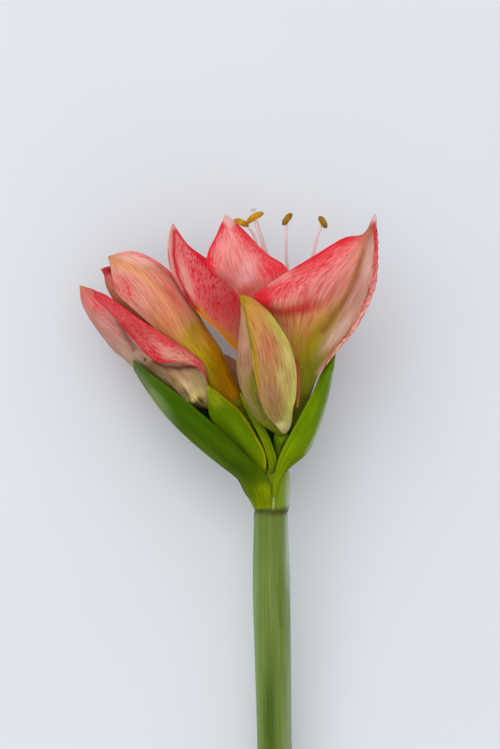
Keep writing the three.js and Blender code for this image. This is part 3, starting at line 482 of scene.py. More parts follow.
@dataclass(frozen=True)
class Line:
    """A thin line of pigment through points in mm, such as a midrib, a crease or a red margin."""

    points: tuple[tuple[float, float], ...]
    wide: float
    colour: str = ""
    strength: float = 1.0
    dashes: float = 0.0

    def mask(self, points: np.ndarray, u: np.ndarray, v: np.ndarray) -> np.ndarray:
        """How strongly the line covers each point, from 0 to 1."""
        knots = np.array(self.points, float)
        nearest = np.full(points.shape[:-1], np.inf)
        for start, end in zip(knots[:-1], knots[1:]):
            run = end - start
            share = np.clip(((points[..., :2] - start) @ run) / (run @ run), 0, 1)
            away = np.linalg.norm(points[..., :2] - start - share[..., None] * run, axis=-1)
            nearest = np.minimum(nearest, away)
        return np.exp(-((nearest / self.wide) ** 2))


@dataclass(frozen=True)
class Pigment:
    """Pigment of one face: colours from root to tip, how dense its dashes are, and its patches."""

    stops: tuple[tuple[float, str], ...]
    dashes: float = 0.0
    touches: tuple[Blush | Stripe | Line, ...] = ()

    def on(self, points: np.ndarray, u: np.ndarray, v: np.ndarray) -> np.ndarray:
        """Works out the pigment.

        Args:
            points: Points of the face, in the stem's frame in mm.
            u: Their places across.
            v: Their places along.

        Returns:
            Linear red, green and blue, and the density of the dashes, for each point.
        """
        places = [place for place, _ in self.stops]
        colours = np.array([linear(colour) for _, colour in self.stops])
        painted = np.stack([np.interp(v, places, colours[:, i]) for i in range(3)], axis=-1)
        density = np.full(v.shape, self.dashes)
        for touch in self.touches:
            cover = touch.mask(points, u, v)
            density = density + cover * touch.dashes
            if touch.colour:
                mix = (cover * touch.strength)[..., None]
                painted = painted * (1 - mix) + np.array(linear(touch.colour)) * mix
        return np.concatenate([painted, np.clip(density, 0, 1)[..., None]], axis=-1)


# ---- working on meshes ---------------------------------------------------------------------------


def new_grid(name: str, across: int, along: int) -> tuple[bpy.types.Object, np.ndarray, np.ndarray]:
    """Adds a flat grid to shape.

    Args:
        name: Name of the piece.
        across: Faces across.
        along: Faces along.

    Returns:
        The object, and the places across and along of its vertices, from 0 to 1.
    """
    bpy.ops.object.select_all(action="DESELECT")
    bpy.ops.mesh.primitive_grid_add(x_subdivisions=across, y_subdivisions=along, size=1)
    piece = bpy.context.active_object
    piece.name = piece.data.name = name
    flat = np.empty(len(piece.data.vertices) * 3)
    piece.data.vertices.foreach_get("co", flat)
    flat = flat.reshape(-1, 3)
    return piece, np.clip(flat[:, 0] + 0.5, 0, 1), np.clip(flat[:, 1] + 0.5, 0, 1)


def set_points(piece: bpy.types.Object, points: np.ndarray) -> None:
    """Moves a piece's vertices to points of the stem's frame; none goes below the floor."""
    places = laid(points)
    places[:, 2] = np.maximum(places[:, 2], 0.0)
    piece.data.vertices.foreach_set("co", places.ravel())
    piece.data.update()


def set_vein_map(piece: bpy.types.Object, across_mm: np.ndarray, along_mm: np.ndarray) -> None:
    """Gives a piece the UV map that its veins follow: millimetres across and along them."""
    mesh = piece.data
    layer = mesh.uv_layers.active
    layer.name = "veins"
    corners = np.empty(len(mesh.loops), int)
    mesh.loops.foreach_get("vertex_index", corners)
    layer.data.foreach_set("uv", np.stack([across_mm, along_mm], -1)[corners].ravel())


def set_pigment(piece: bpy.types.Object, face: Face, colours: np.ndarray) -> None:
    """Stores a face's pigment on a piece's vertices."""
    layer = piece.data.color_attributes.new(face.value, "FLOAT_COLOR", "POINT")
    layer.data.foreach_set("color", colours.ravel())


def pick(*pieces: bpy.types.Object) -> None:
    """Selects only these pieces and makes the first of them active."""
    bpy.ops.object.select_all(action="DESELECT")
    for piece in pieces:
        piece.select_set(True)
    bpy.context.view_layer.objects.active = pieces[0]


def edit(piece: bpy.types.Object) -> None:
    """Opens one piece alone in edit mode with nothing selected."""
    pick(piece)
    bpy.ops.object.mode_set(mode="EDIT")
    bpy.ops.mesh.select_all(action="DESELECT")


def close_tube(piece: bpy.types.Object, ends: bool = True) -> None:
    """Welds the seam of a rolled grid, and closes its ends if asked to."""
    edit(piece)
    bpy.ops.mesh.select_all(action="SELECT")
    bpy.ops.mesh.remove_doubles(threshold=WELD)
    if ends:
        bpy.ops.mesh.fill_holes(sides=0)
    bpy.ops.object.mode_set(mode="OBJECT")


def apply_modifier(piece: bpy.types.Object, kind: str, **settings: object) -> None:
    """Adds a modifier with its settings to a piece and applies it."""
    bpy.context.view_layer.objects.active = piece
    modifier = piece.modifiers.new(kind.title(), kind)
    for key, value in settings.items():
        setattr(modifier, key, value)
    bpy.ops.object.modifier_apply(modifier=modifier.name)


def join(name: str, pieces: list[bpy.types.Object]) -> bpy.types.Object:
    """Joins pieces into the first of them and names it."""
    pick(*pieces)
    bpy.ops.object.join()
    pieces[0].name = pieces[0].data.name = name
    return pieces[0]


def settle(piece: bpy.types.Object, nodes: tuple[str, ...], slot: Slot) -> None:
    """Smooths a finished piece, lets it ride on the part and stand for its nodes.

    Args:
        piece: The finished piece.
        nodes: Names of the CAD nodes that it stands for.
        slot: Material slot; not used.
    """
    pick(piece)
    bpy.ops.object.shade_smooth()
    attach(piece, "root")
    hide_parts(*nodes)
    log.info("%s: %d faces, stands for %s", piece.name, len(piece.data.polygons), ", ".join(nodes))


# ---- finishes ------------------------------------------------------------------------------------


def add_node(
    tree: bpy.types.NodeTree, kind: str, links: dict, **settings: object
) -> bpy.types.Node:
    """Adds a node with its settings, values and links.

    Args:
        tree: Node tree of a material or of the world.
        kind: Type of the node.
        links: Value, or socket to link from, for each input by name or number.
        settings: Properties of the node itself.

    Returns:
        The node.
    """
    made = tree.nodes.new(kind)
    for key, value in settings.items():
        setattr(made, key, value)
    for key, value in links.items():
        if isinstance(value, Socket):
            tree.links.new(value, made.inputs[key])
        else:
            made.inputs[key].default_value = value
    return made


def clear_tree(owner: bpy.types.Material | bpy.types.World) -> bpy.types.NodeTree:
    """Gives a material or world an empty node tree."""
    owner.use_nodes = True
    owner.node_tree.nodes.clear()
    return owner.node_tree


def spread(tree: bpy.types.NodeTree, value: Socket, *ends: object) -> Socket:
    """Maps a value from between the first two ends to between the last two."""
    return add_node(tree, "ShaderNodeMapRange", dict(enumerate((value, *ends)))).outputs[0]


def sum_of(
    tree: bpy.types.NodeTree, first: float | Socket, second: float | Socket, way: str = "ADD"
) -> Socket:
    """Adds two values, or subtracts the second from the first."""
    return add_node(tree, "ShaderNodeMath", {0: first, 1: second}, operation=way).outputs[0]


def tint(
    tree: bpy.types.NodeTree, share: Socket, colour: object, toward: str, blend: str = "MIX"
) -> Socket:
    """Turns a colour toward an sRGB hex colour.

    Args:
        tree: Node tree of the material.
        share: How far it turns, from 0 to 1.
        colour: The colour, or the socket that gives it.
        toward: The hex colour.
        blend: Blend type of the mix.

    Returns:
        The mixed colour.
    """
    ends = {0: share, 6: colour, 7: (*linear(toward), 1)}
    mix = add_node(tree, "ShaderNodeMix", ends, data_type="RGBA", blend_type=blend)
    return mix.outputs[2]


@dataclass(frozen=True)
class LivingTissue:
    """A plant's skin: the piece's own pigment, with veins, dashes, and light that seeps in.

    Sizes are in mm. Veins are streaks that run along the blade, and dashes are short marks between
    them, gathered in blotches. Bare is the noise below which skin without pigment has no dash, and
    soft how much more noise a full dash takes. Seep is the share of light that enters the skin,
    and glow the share that shines through.
    """

    name: str
    face: Face
    vein_colour: str
    vein_wide: float = 0.7
    vein_long: float = 24.0
    vein_strength: float = 0.5
    dash_colour: str = "#B3182F"
    dash_wide: float = 0.6
    dash_long: float = 3.2
    dash_strength: float = 0.85
    bare: float = 0.95
    soft: float = 0.34
    blotch: float = 0.35
    mottle: float = 0.1
    mottle_size: float = 4.0
    roughness: float = 0.5
    gloss: float = 0.12
    seep: float = 0.15
    seep_colour: Point = (1.0, 0.45, 0.25)
    seep_depth: float = 2.0
    glow: float = 0.12
    relief: float = 0.06

    def streaks(
        self, tree: bpy.types.NodeTree, wide: float, long: float, detail: float, shift: float
    ) -> Socket:
        """Draws noise out along the veins.

        Args:
            tree: The material's node tree.
            wide: Width of a streak in mm.
            long: Length of a streak in mm.
            detail: How much finer detail it has.
            shift: Keeps its pattern apart from others.

        Returns:
            The noise, spread over the range from 0 to 1.
        """
        place = add_node(tree, "ShaderNodeUVMap", {}, uv_map="veins").outputs[0]
        laying = {"Vector": place, "Scale": (1 / wide, 1 / long, 1), "Location": (0, 0, shift)}
        drawn = add_node(tree, "ShaderNodeMapping", laying).outputs[0]
        cloud = {"Vector": drawn, "Scale": 1.0, "Detail": detail}
        noise = add_node(tree, "ShaderNodeTexNoise", cloud)
        return spread(tree, noise.outputs[0], *NOISE_SPAN)

    def colour(self, tree: bpy.types.NodeTree, veins: Socket, marks: Socket) -> Socket:
        """Colours the skin: its pigment, darkened by veins and clouds, under the dashes."""
        pigment = add_node(tree, "ShaderNodeAttribute", {}, attribute_name=self.face.value)
        vein_share = spread(tree, veins, VEIN_FROM, 1.0, 0.0, self.vein_strength)
        veined = tint(tree, vein_share, pigment.outputs["Color"], self.vein_colour, "MULTIPLY")
        size = self.mottle_size
        clouds = self.streaks(tree, size, size * CLOUD_LONG, *CLOUD_NOISE)
        shade = spread(tree, clouds, 0.0, 1.0, 1 - self.mottle, 1 + self.mottle)
        clouded = add_node(tree, "ShaderNodeHueSaturation", {"Value": shade, "Color": veined})
        density = pigment.outputs["Alpha"]
        least = sum_of(tree, self.bare, density, "SUBTRACT")
        full = sum_of(tree, least, self.soft)
        dash_share = spread(tree, marks, least, full, 0.0, self.dash_strength)
        return tint(tree, dash_share, clouded.outputs["Color"], self.dash_colour)

    def material(self) -> bpy.types.Material:
        """Makes the material, or returns it if it was made before."""
        if self.name in bpy.data.materials:
            return bpy.data.materials[self.name]
        made = bpy.data.materials.new(self.name)
        tree = clear_tree(made)
        size = self.mottle_size
        veins = self.streaks(tree, self.vein_wide, self.vein_long, *VEIN_NOISE)
        fine = self.streaks(tree, self.dash_wide, self.dash_long, *DASH_NOISE)
        patches = self.streaks(tree, size * BLOTCH_WIDE, size * BLOTCH_LONG, *BLOTCH_NOISE)
        marks = add_node(tree, "ShaderNodeMix", {0: self.blotch, 2: fine, 3: patches}).outputs[0]
        colour = self.colour(tree, veins, marks)
        surface = {"Height": sum_of(tree, veins, marks), "Distance": self.relief * MM}
        bump = add_node(tree, "ShaderNodeBump", surface).outputs[0]
        skin = add_node(
            tree,
            "ShaderNodeBsdfPrincipled",
            {
                "Base Color": colour,
                "Roughness": self.roughness,
                "Normal": bump,
                "Subsurface Weight": self.seep,
                "Subsurface Radius": self.seep_colour,
                "Subsurface Scale": self.seep_depth * MM,
                "Specular IOR Level": self.gloss,
            },
        )
        through = add_node(tree, "ShaderNodeBsdfTranslucent", {"Color": colour, "Normal": bump})
        mixed = add_node(
            tree, "ShaderNodeMixShader", {0: self.glow, 1: skin.outputs[0], 2: through.outputs[0]}
        )
        add_node(tree, "ShaderNodeOutputMaterial", {0: mixed.outputs[0]})
        return made


# Outer face of an amaryllis petal: matte and faintly ribbed, with fine streaks that run to the tip.
PETAL_OUTER = LivingTissue(
    "petal_outer_skin", Face.OUTER, vein_colour="#DC7C74", vein_wide=0.9, vein_long=14.0,
    vein_strength=0.62, dash_colour="#E4142A", dash_wide=0.38, dash_long=2.4, dash_strength=0.85,
    blotch=0.28, relief=0.09,
)
# Inner face of a petal: velvety, and crossed by crimson dashes that follow the veins.
PETAL_INNER = LivingTissue(
    "petal_inner_skin", Face.INNER, vein_colour="#E08A8A", vein_wide=0.8, vein_long=10.0,
    dash_colour="#C00E20", dash_wide=0.42, dash_long=2.2, blotch=0.22, roughness=0.58, relief=0.09,
)
# Bud petals: firmer and duller, with soft brownish streaks.
BUD_OUTER = LivingTissue(
    "bud_petal_skin", Face.OUTER, vein_colour="#C88E6A", vein_wide=0.9, vein_long=9.0,
    vein_strength=0.65, dash_colour="#A4502C", dash_wide=0.8, dash_long=6.0, dash_strength=0.62,
    blotch=0.5, glow=0.05,
)
BUD_INNER = replace(BUD_OUTER, name="bud_petal_inside", face=Face.INNER)
# The wing's inner face: a lighter copy of the petals' inner skin, painted light for a wing that
# lies in shade.
WING_LIT_SKIN = replace(
    PETAL_INNER, name="petal_wing_lit_skin", vein_colour="#FA9090", dash_colour="#EC142E",
    dash_wide=0.5, dash_long=2.8, dash_strength=0.95,
)
# Spathe and bract leaves: waxy green with fine parallel ribs and a soft gloss.
LEAF_OUTER = LivingTissue(
    "spathe_leaf_skin", Face.OUTER, vein_colour="#9AB048", vein_wide=0.6, vein_long=45.0,
    vein_strength=0.62, dash_colour="#2E4800", dash_strength=0.6, dash_long=9.0, mottle=0.19,
    mottle_size=6.0, roughness=0.55, gloss=0.03, seep=0.05, glow=0.05, relief=0.05,
)
LEAF_INNER = replace(LEAF_OUTER, name="spathe_leaf_inside", face=Face.INNER)
# Stem skin: smooth, waxy and finely ribbed along its length, with darker streaks.
STEM_SKIN = LivingTissue(
    "stem_wax_skin", Face.OUTER, vein_colour="#9AAC76", vein_wide=0.55, vein_long=55.0,
    vein_strength=0.5, dash_colour="#4C6200", dash_wide=1.3, dash_long=18.0, dash_strength=0.4,
    mottle=0.07, mottle_size=9.0, roughness=0.4, gloss=0.12, seep=0.05, glow=0.0, relief=0.05,
)
# Cut stem flesh: wet, pale green pith.
STEM_FLESH = replace(
    STEM_SKIN, name="stem_cut_flesh", face=Face.INNER, vein_wide=0.8, vein_long=2.0, roughness=0.25,
)
# Filaments and styles: smooth, moist and pale, almost see-through.
FILAMENT_SKIN = LivingTissue(
    "filament_skin", Face.OUTER, vein_colour="#F0C4C0", vein_long=30.0, roughness=0.35, seep=0.25,
    relief=0.01,
)
# Pollen: dry golden grains, so fully matte and rough.
POLLEN = LivingTissue(
    "golden_pollen", Face.OUTER, vein_colour="#A8701C", vein_wide=0.45, vein_long=0.45,
    vein_strength=0.8, dash_colour="#8A5F14", dash_wide=0.35, dash_long=0.35, mottle=0.2,
    mottle_size=0.9, roughness=0.9, seep=0.0, glow=0.0, relief=0.18,
)


# ---- blades: petals and leaves -------------------------------------------------------------------


@dataclass(frozen=True)
class Wave:
    """Ripples along a blade's edges: their height in mm and how many from root to tip.

    Lag is how far, in radians, the right edge's ripples are from the left edge's, hold how closely
    the ripples keep to the edges, and fade how soon they start at the root and end at the tip.
    """

    frill: float = 0.0
    waves: float = 5.0
    phase: float = 0.0
    lag: float = 1.9
    hold: int = 4
    fade: float = 0.7
    reach: float = 1.1

    def height(self, u: np.ndarray, v: np.ndarray) -> np.ndarray:
        """Height of the ripple: none at the blade's middle, root and tip."""
        edge = np.abs(2 * u - 1) ** self.hold
        ends = np.sin(np.pi * np.minimum(1, v * self.reach)).clip(0) ** self.fade
        turn = 2 * np.pi * self.waves * v + self.phase + np.where(u > 0.5, self.lag, 0.0)
        return self.frill * edge * ends * np.sin(turn)


@dataclass(frozen=True)
class Blade:
    """One petal or leaf: a thin blade through a net, thinnest at its edges.

    Slant turns its veins from its middle line, in degrees. Folds are its ridges and creases, each
    with its height in mm. Thinning is the share of its wall that is gone at its edges.
    """

    name: str
    net: Net | np.ndarray
    outer: Pigment
    inner: Pigment
    skins: tuple[LivingTissue, LivingTissue] = (PETAL_OUTER, PETAL_INNER)
    thick: float = 0.9
    thinning: float = 0.85
    wave: Wave = Wave()
    crimp: float = 0.12
    ripples: int = 7
    folds: tuple[tuple[Blush | Line, float], ...] = ()
    slant: float = 0.0
    across: int = 56
    along: int = 96
    seed: int = 0

    def build(self) -> bpy.types.Object:
        """Makes the blade and dresses it."""
        piece, u, v = new_grid(self.name, self.across, self.along)
        net = np.array(self.net, float)
        us, vs = np.linspace(0, 1, self.across + 1), np.linspace(0, 1, self.along + 1)
        i, j = np.rint(u * self.across).astype(int), np.rint(v * self.along).astype(int)
        spots = sheet(net, us, vs)
        points = spots[i, j]
        lift = self.wave.height(u, v) + self.crimp * self.puckers(u, v)
        for fold, height in self.folds:
            lift = lift + height * fold.mask(points, u, v)
        points = points + sheet_normals(net, us, vs)[i, j] * lift[:, None]
        set_points(piece, points)
        wide, long = steps_of(spots).sum(0).max(), steps_of(spots[self.across // 2]).sum()
        aside = (u - 0.5) * wide + v * long * math.tan(math.radians(self.slant))
        shift = np.array(BLADE_SHIFT) * self.seed
        set_vein_map(piece, aside + shift[0], v * long + shift[1])
        self.dress(piece, points, u, v)
        self.thicken(piece, u, v)
        return piece

    def puckers(self, u: np.ndarray, v: np.ndarray) -> np.ndarray:
        """Small uneven puckers that grow toward the edges, from a seeded sum of ripples."""
        rng = np.random.default_rng(self.seed + 11)
        total = np.zeros_like(u)
        for _ in range(self.ripples):
            ku, kv = rng.uniform(*PUCKERS_ACROSS), rng.uniform(*PUCKERS_ALONG)
            phase = rng.uniform(0, 2 * np.pi)
            total += np.sin(ku * 2 * np.pi * u + kv * np.pi * v + phase) / (2 + kv / 6)
        ends = np.sin(np.pi * np.clip(v, 0.01, 0.99)) ** 0.5
        return total * (0.35 + np.abs(2 * u - 1) ** 3) * ends

    def dress(
        self, piece: bpy.types.Object, points: np.ndarray, u: np.ndarray, v: np.ndarray
    ) -> None:
        """Gives both faces their pigment and skin."""
        for face, pigment in ((Face.OUTER, self.outer), (Face.INNER, self.inner)):
            set_pigment(piece, face, pigment.on(points, u, v))
        for skin in self.skins:
            piece.data.materials.append(skin.material())

    def thicken(self, piece: bpy.types.Object, u: np.ndarray, v: np.ndarray) -> None:
        """Gives the blade its wall: full at its middle and root, less than half at its edges."""
        tip = np.clip((v - TIP_FROM) / (1 - TIP_FROM), 0, 1)
        edge = np.maximum(np.abs(2 * u - 1) ** 3, tip**2)
        group = piece.vertex_groups.new(name="wall")
        for index, share in enumerate(1 - self.thinning * edge):
            group.add([index], float(share), "REPLACE")
        apply_modifier(
            piece, "SOLIDIFY", thickness=self.thick * MM, offset=0.0, vertex_group="wall",
            thickness_vertex_group=LEAST_WALL, material_offset=1, material_offset_rim=1,
        )


@dataclass(frozen=True)
class RolledMargin:
    """The right margin of a petal from v0 to v1, where it rolls out over the petal's outer face.

    Sizes are in mm: its width and rise, the height of the ruffles along it, and the lifts of its
    free edge, crest and outline off the petal. Crest is where its highest line runs, as a share of
    its width, and inmost how far in across the petal it can lie. Slip is how far, in radians, the
    ruffles are out of step, and vary how much their heights differ.
    """

    name: str
    petal: Net
    face: Pigment
    v0: float
    v1: float
    wide: float = 4.0
    rise: float = 1.5
    ruffle: float = 0.7
    waves: int = 13
    seed: int = 0
    thick: float = 0.7
    lifts: Point = (0.5, 0.3, 0.1)
    crest: float = 0.45
    inmost: float = 0.6
    slip: float = 1.6
    vary: float = 0.6

    def build(self) -> bpy.types.Object:
        """Makes the strip and dresses it with the petal's inner skin on both faces."""
        return Blade(
            self.name, self.net(), self.face, self.face, (PETAL_INNER, PETAL_INNER), self.thick,
            crimp=0.0, across=10, along=self.waves * 10, seed=self.seed,
        ).build()

    def net(self) -> np.ndarray:
        """The strip's net: its free edge on the petal, the crest of the roll and the outline."""
        petal = np.array(self.petal, float)
        t = np.linspace(0, 1, self.waves * 6 + 1)
        v = self.v0 + (self.v1 - self.v0) * t
        rng = np.random.default_rng(self.seed)
        knots = np.linspace(0, 1, 2 * self.waves)
        uneven, tall = (np.interp(t, knots, rng.uniform(-1, 1, len(knots))) for _ in range(2))
        wave = np.sin(2 * np.pi * self.waves * t + self.slip * uneven) * (1 + self.vary * tall)
        swell = np.sin(np.pi * t).clip(0) ** 0.5
        u = np.linspace(self.inmost, 1, 60)
        runs = steps_of(sheet(petal, u, v)[::-1]).cumsum(0)
        rows = []
        for k, place in enumerate(v):
            gone = np.concatenate([[0], runs[:, k]])
            wide = self.wide * swell[k] * (1 + 0.2 * wave[k])
            free, crest = (np.interp(wide * share, gone, u[::-1]) for share in (1.0, self.crest))
            at = np.array([free, crest, 1.0])
            spots = sheet(petal, at, np.array([place]))[:, 0]
            out = sheet_normals(petal, at, np.array([place]))[:, 0]
            rise = np.array([0.0, self.rise * swell[k] * (1 + 0.3 * wave[k]), 0.0])
            spots = spots + out * (rise + np.array(self.lifts))[:, None]
            spots[2] += unit(spots[2] - spots[0]) * self.ruffle * swell[k] * wave[k]
            rows.append(spots)
        return np.array(rows)


@dataclass(frozen=True)
class Rod:
    """A round piece along a path through stations, with lobes round it if asked to."""

    name: str
    stations: tuple[Point, ...]
    pigment: Pigment
    skin: LivingTissue
    sides: int = 20
    rows: int = 40
    lobes: int = 0
    lobe_depth: float = 0.0
    seed: int = 0

    def build(self, ends: bool = True) -> bpy.types.Object:
        """Makes the rod from a rolled grid and dresses it.

        Args:
            ends: Whether its ends are closed.

        Returns:
            The object.
        """
        piece, u, v = new_grid(self.name, self.sides, self.rows)
        stations = np.array([(*s, s[3]) if len(s) == 4 else s for s in self.stations], float)
        t = even_steps(stations[:, :3], self.rows + 1)
        j = np.rint(v * self.rows).astype(int)
        centre, side, front, _ = (part[j] for part in path_frame(stations[:, :3], t))
        girth = spline(stations[:, 3:], t)[j]
        turn = 2 * np.pi * u
        lobe = 1 + self.lobe_depth * np.cos(self.lobes * turn)
        points = centre + side * (np.sin(turn) * girth[:, 0] * lobe)[:, None]
        points = points + front * (np.cos(turn) * girth[:, 1] * lobe)[:, None]
        set_points(piece, points)
        long = steps_of(spline(stations[:, :3], t)).sum()
        shift = np.array(ROD_SHIFT) * self.seed
        set_vein_map(piece, turn * girth[:, 0].max() + shift[0], v * long + shift[1])
        set_pigment(piece, Face.OUTER, self.pigment.on(points, u, v))
        piece.data.materials.append(self.skin.material())
        close_tube(piece, ends)
        return piece


# ---- stem ----------------------------------------------------------------------------------------


@dataclass(frozen=True)
class Stem:
    """The thick hollow stem, with a ring under the flower head and a slanting cut end.

    Sizes are in mm. Rim and lip are the soft edges of the cut and of the bore. A face with more
    corners than most_corners is an end.
    """

    length: float = 250.0
    radius: float = 10.3
    neck: float = 9.3
    cut_tilt: float = 12.0
    wall: float = 4.6
    bore_depth: float = 27.0
    rim: float = 0.4
    lip: float = 0.6
    most_corners: int = 8

    def build(self) -> None:
        """Makes the stem, cuts its end at a slant, bores it and dresses it."""
        r, n, low = self.radius, self.neck, -self.length
        piece = Rod(
            "stem_hollow_rod",
            (
                (3.4, low - 4, 0, r + 0.3, r), (2.3, -190, 0, r - 0.3, r - 0.6),
                (1.4, -133, 0, r - 0.8, r - 1), (0.6, -90, 0, r - 0.4, r - 0.6),
                (-0.3, -45, 0, r, r - 0.3), (-0.5, -20, 0, n + 0.5, n + 0.3),
                (-0.5, -9, 0, n + 0.2, n + 0.1), (-0.6, -4.8, 0, n + 0.1, n),
                (-0.5, -2.9, 0, n - 0.3, n - 0.3), (-0.3, -1.2, 0, n, n),
                (0.1, 1.8, 0, n + 0.2, n + 0.1), (0.2, 5.4, 0, n + 0.4, n + 0.2),
                (0.3, 10, 0, n + 0.6, n + 0.3), (0.3, 15, 0, n + 0.4, n + 0.1),
                (0.3, 18.4, 0, n, n - 0.2), (0.3, 20, 0, n - 0.9, n - 0.9),
            ),
            self.pigment(), STEM_SKIN, 64, 400,
        ).build(ends=False)
        piece.data.materials.append(STEM_FLESH.material())
        pith = (*linear("#B9C48A"), 0.1)
        set_pigment(piece, Face.INNER, np.tile(pith, (len(piece.data.vertices), 1)))
        self.cut(piece)
        settle(piece, ("stem",), Slot.STEM)

    def pigment(self) -> Pigment:
        """Grey green with painted sheen at its edges, yellow green above the ring, dark brown and
        painted shade at the ring.
        """
        return Pigment(
            ((0, "#778844"), (0.3, "#70833C"), (0.6, "#6C8038"), (0.75, "#6A7E38"),
             (0.92, "#66792E"), (0.9265, "#7C8C10"), (0.935, "#748A00"), (1, "#7C8C00")),
            0.12,
            (
                # Pale strips down both edges: painted sheen, partly the stem's own waxy bloom.
                Blush(-9.8, -120, 170, 2.6, 90, "#86A062", 0.75),
                Blush(10.2, -140, 110, 3.0, 90, "#909C76", 0.9),
                Blush(10.4, -14, 34, 3.4, 90, "#BCC6B2", 0.95),
                Blush(-1.0, -122, 44, 3.8, 90, "#3E5600", 0.9, 0.25),
                Line(((3.0, -44), (4.6, -66)), 0.9, "#5F6E30", 0.7, 0.3),
                # Dark olive band round the ring: painted shade in its groove.
                Line(((-9.6, -2.4), (-3, -3.1), (3, -3.2), (10, -1.8)), 2.2, "#343E02", 0.75),
                Line(((0, -3.9), (9, -3.2)), 0.9, "#5E3A14", 0.7),
                Line(((0.9, -1.2), (0.9, 4.6)), 0.5, "#B7BC6E", 0.8),
                Line(((1.9, -1), (2.2, 4)), 0.7, "#55600A", 0.5),
            ),
        )

    def cut(self, piece: bpy.types.Object) -> None:
        """Slices the lower end at a slant, closes it, and bores it with a soft inner edge."""
        tilt = math.radians(self.cut_tilt)
        end = np.array([3.4, -self.length, 0.0])
        out = np.array([0.0, -math.cos(tilt), -math.sin(tilt)])
        spots = laid(np.stack([end, end + out, end + np.array([0.0, 1.0, 0.0])]))
        way = Vector(spots[1] - spots[0]).normalized()
        inward = Vector(spots[2] - spots[0]).normalized()
        edit(piece)
        bpy.ops.mesh.select_all(action="SELECT")
        bpy.ops.mesh.bisect(plane_co=Vector(spots[0]), plane_no=way, clear_outer=True)
        bpy.ops.mesh.select_all(action="SELECT")
        bpy.ops.mesh.fill_holes(sides=0)
        bpy.ops.mesh.select_all(action="DESELECT")
        bpy.ops.object.mode_set(mode="OBJECT")
        ends = [face for face in piece.data.polygons if len(face.vertices) > self.most_corners]
        end_face = min(ends, key=lambda face: face.center.y)
        end_face.select = True
        middle = Vector(end_face.center)
        bpy.ops.object.mode_set(mode="EDIT")
        piece.active_material_index = 1
        bpy.ops.object.material_slot_assign()
        reach, bore = self.radius, self.radius - self.wall
        for ring in (self.radius - self.rim, bore + self.lip, bore):
            bpy.ops.mesh.extrude_region_move()
            bpy.ops.transform.resize(value=(ring / reach,) * 3, center_override=middle)
            reach = ring
        for depth in (self.lip, self.bore_depth):
            bpy.ops.mesh.extrude_region_move(
                TRANSFORM_OT_translate={"value": inward * depth * MM}
            )
        bpy.ops.object.mode_set(mode="OBJECT")


# ---- leaves at the foot of the flower head -------------------------------------------------------

LEFT_SPATHE_OUTER = Pigment(
    ((0, "#7C8A00"), (0.12, "#6C7C00"), (0.35, "#4A6200"), (0.6, "#3F5E00"), (0.85, "#48660A"),
     (1, "#55702C")),
    0.1,
    (
        # Pale strip along the upper edge and a paler tip: painted sheen over the leaf's waxy bloom.
        Blush(-62.5, 58, 13, 3.0, 128, "#8A9A64", 0.85),
        Blush(-72, 71, 7, 2.6, 120, "#6C7C58", 0.8),
        Blush(-67, 70, 9, 2.0, 130, "#4A6220", 0.6),
        Blush(-48, 50, 20, 3.0, 138, "#375C00", 0.6),
        Blush(-36, 31, 18, 2.6, 138, "#5A7200", 0.6),
        # Dark streak near the foot: painted shadow of the broad bract.
        Blush(-16, 21, 14, 3.2, 142, "#344A00", 0.7),
        Blush(-4, 8, 5, 5, 0, "#848F00", 0.6),
        Line(((0.9, -1.2), (0.9, 4.6)), 0.5, "#C5CB86", 0.9),
    ),
)
LEFT_SPATHE_INNER = Pigment(
    ((0, "#5E7200"), (0.4, "#4E7000"), (0.8, "#3A5A04"), (1, "#5C7040")), 0.1,
    (Blush(-66, 66, 18, 5, 125, "#2F4E00", 0.7),),
)
RIGHT_SPATHE_OUTER = Pigment(
    ((0, "#7C8A00"), (0.2, "#768800"), (0.45, "#6E8A00"), (0.8, "#688400"), (1, "#728A30")),
    0.08,
    (
        Line(
            ((19.2, 29.2), (24.5, 39.8), (28.4, 50.8), (31.3, 62), (33.3, 73)),
            1.3, "#B4C09C", 0.8,
        ),
        Blush(14, 38, 16, 3, 62, "#769400", 0.6),
        Blush(29, 64, 14, 2.4, 72, "#587C10", 0.6),
        Line(((2.2, 21), (5, 30), (10.3, 40.5), (16.3, 51.5), (22.3, 62.5)), 1.0, "#8CA00C", 0.6),
    ),
)
RIGHT_SPATHE_INNER = Pigment(((0, "#5E7200"), (0.5, "#3F6000"), (1, "#4A6A08")), 0.1)
BROAD_BRACT_OUTER = Pigment(
    ((0, "#6E8000"), (0.3, "#5C7800"), (0.65, "#5F7C00"), (0.88, "#86900A"), (1, "#A8A018")),
    0.08,
    (
        # Bright yellow rim down the right edge: painted light on the rim.
        Line(
            ((-3.4, 22), (-3.9, 29), (-10, 41), (-16.5, 51), (-24, 57.8), (-31, 63.6)), 1.4,
            "#A8A400", 0.9,
        ),
        Blush(-25, 46, 12, 3.2, 124, "#587000", 0.6),
        Blush(-31, 59, 6, 3, 124, "#98981A", 0.7),
    ),
)
NARROW_BRACT_OUTER = Pigment(
    ((0, "#728000"), (0.4, "#6A7C00"), (0.8, "#728600"), (1, "#A2A230")),
    0.1,
    (Line(((2.5, 24.5), (-0.1, 34.2), (-5.8, 46), (-12.7, 55.3)), 0.8, "#94A000", 0.7),),
)
BRACT_INNER = Pigment(((0, "#4A5E00"), (0.6, "#3E5A00"), (1, "#66801C")), 0.12)
# The rear bract, seen through the gap between the stalks, is painted near black green: painted
# shade.
REAR_BRACT_SHADED_FACE = Pigment(((0, "#2A4400"), (0.5, "#2E4A04"), (1, "#4A6610")), 0.25)


@dataclass(frozen=True)
class Leaf:
    """A spathe leaf, or a bract between the flower stalks."""

    node: str
    net: Net
    outer: Pigment
    inner: Pigment
    slot: Slot
    seed: int
    thick: float = 1.1
    crimp: float = 0.06

    def build(self) -> None:
        """Makes the leaf."""
        piece = Blade(
            f"{self.node}_leaf", self.net, self.outer, self.inner, (LEAF_OUTER, LEAF_INNER),
            self.thick, crimp=self.crimp, seed=self.seed,
        ).build()
        settle(piece, (self.node,), self.slot)


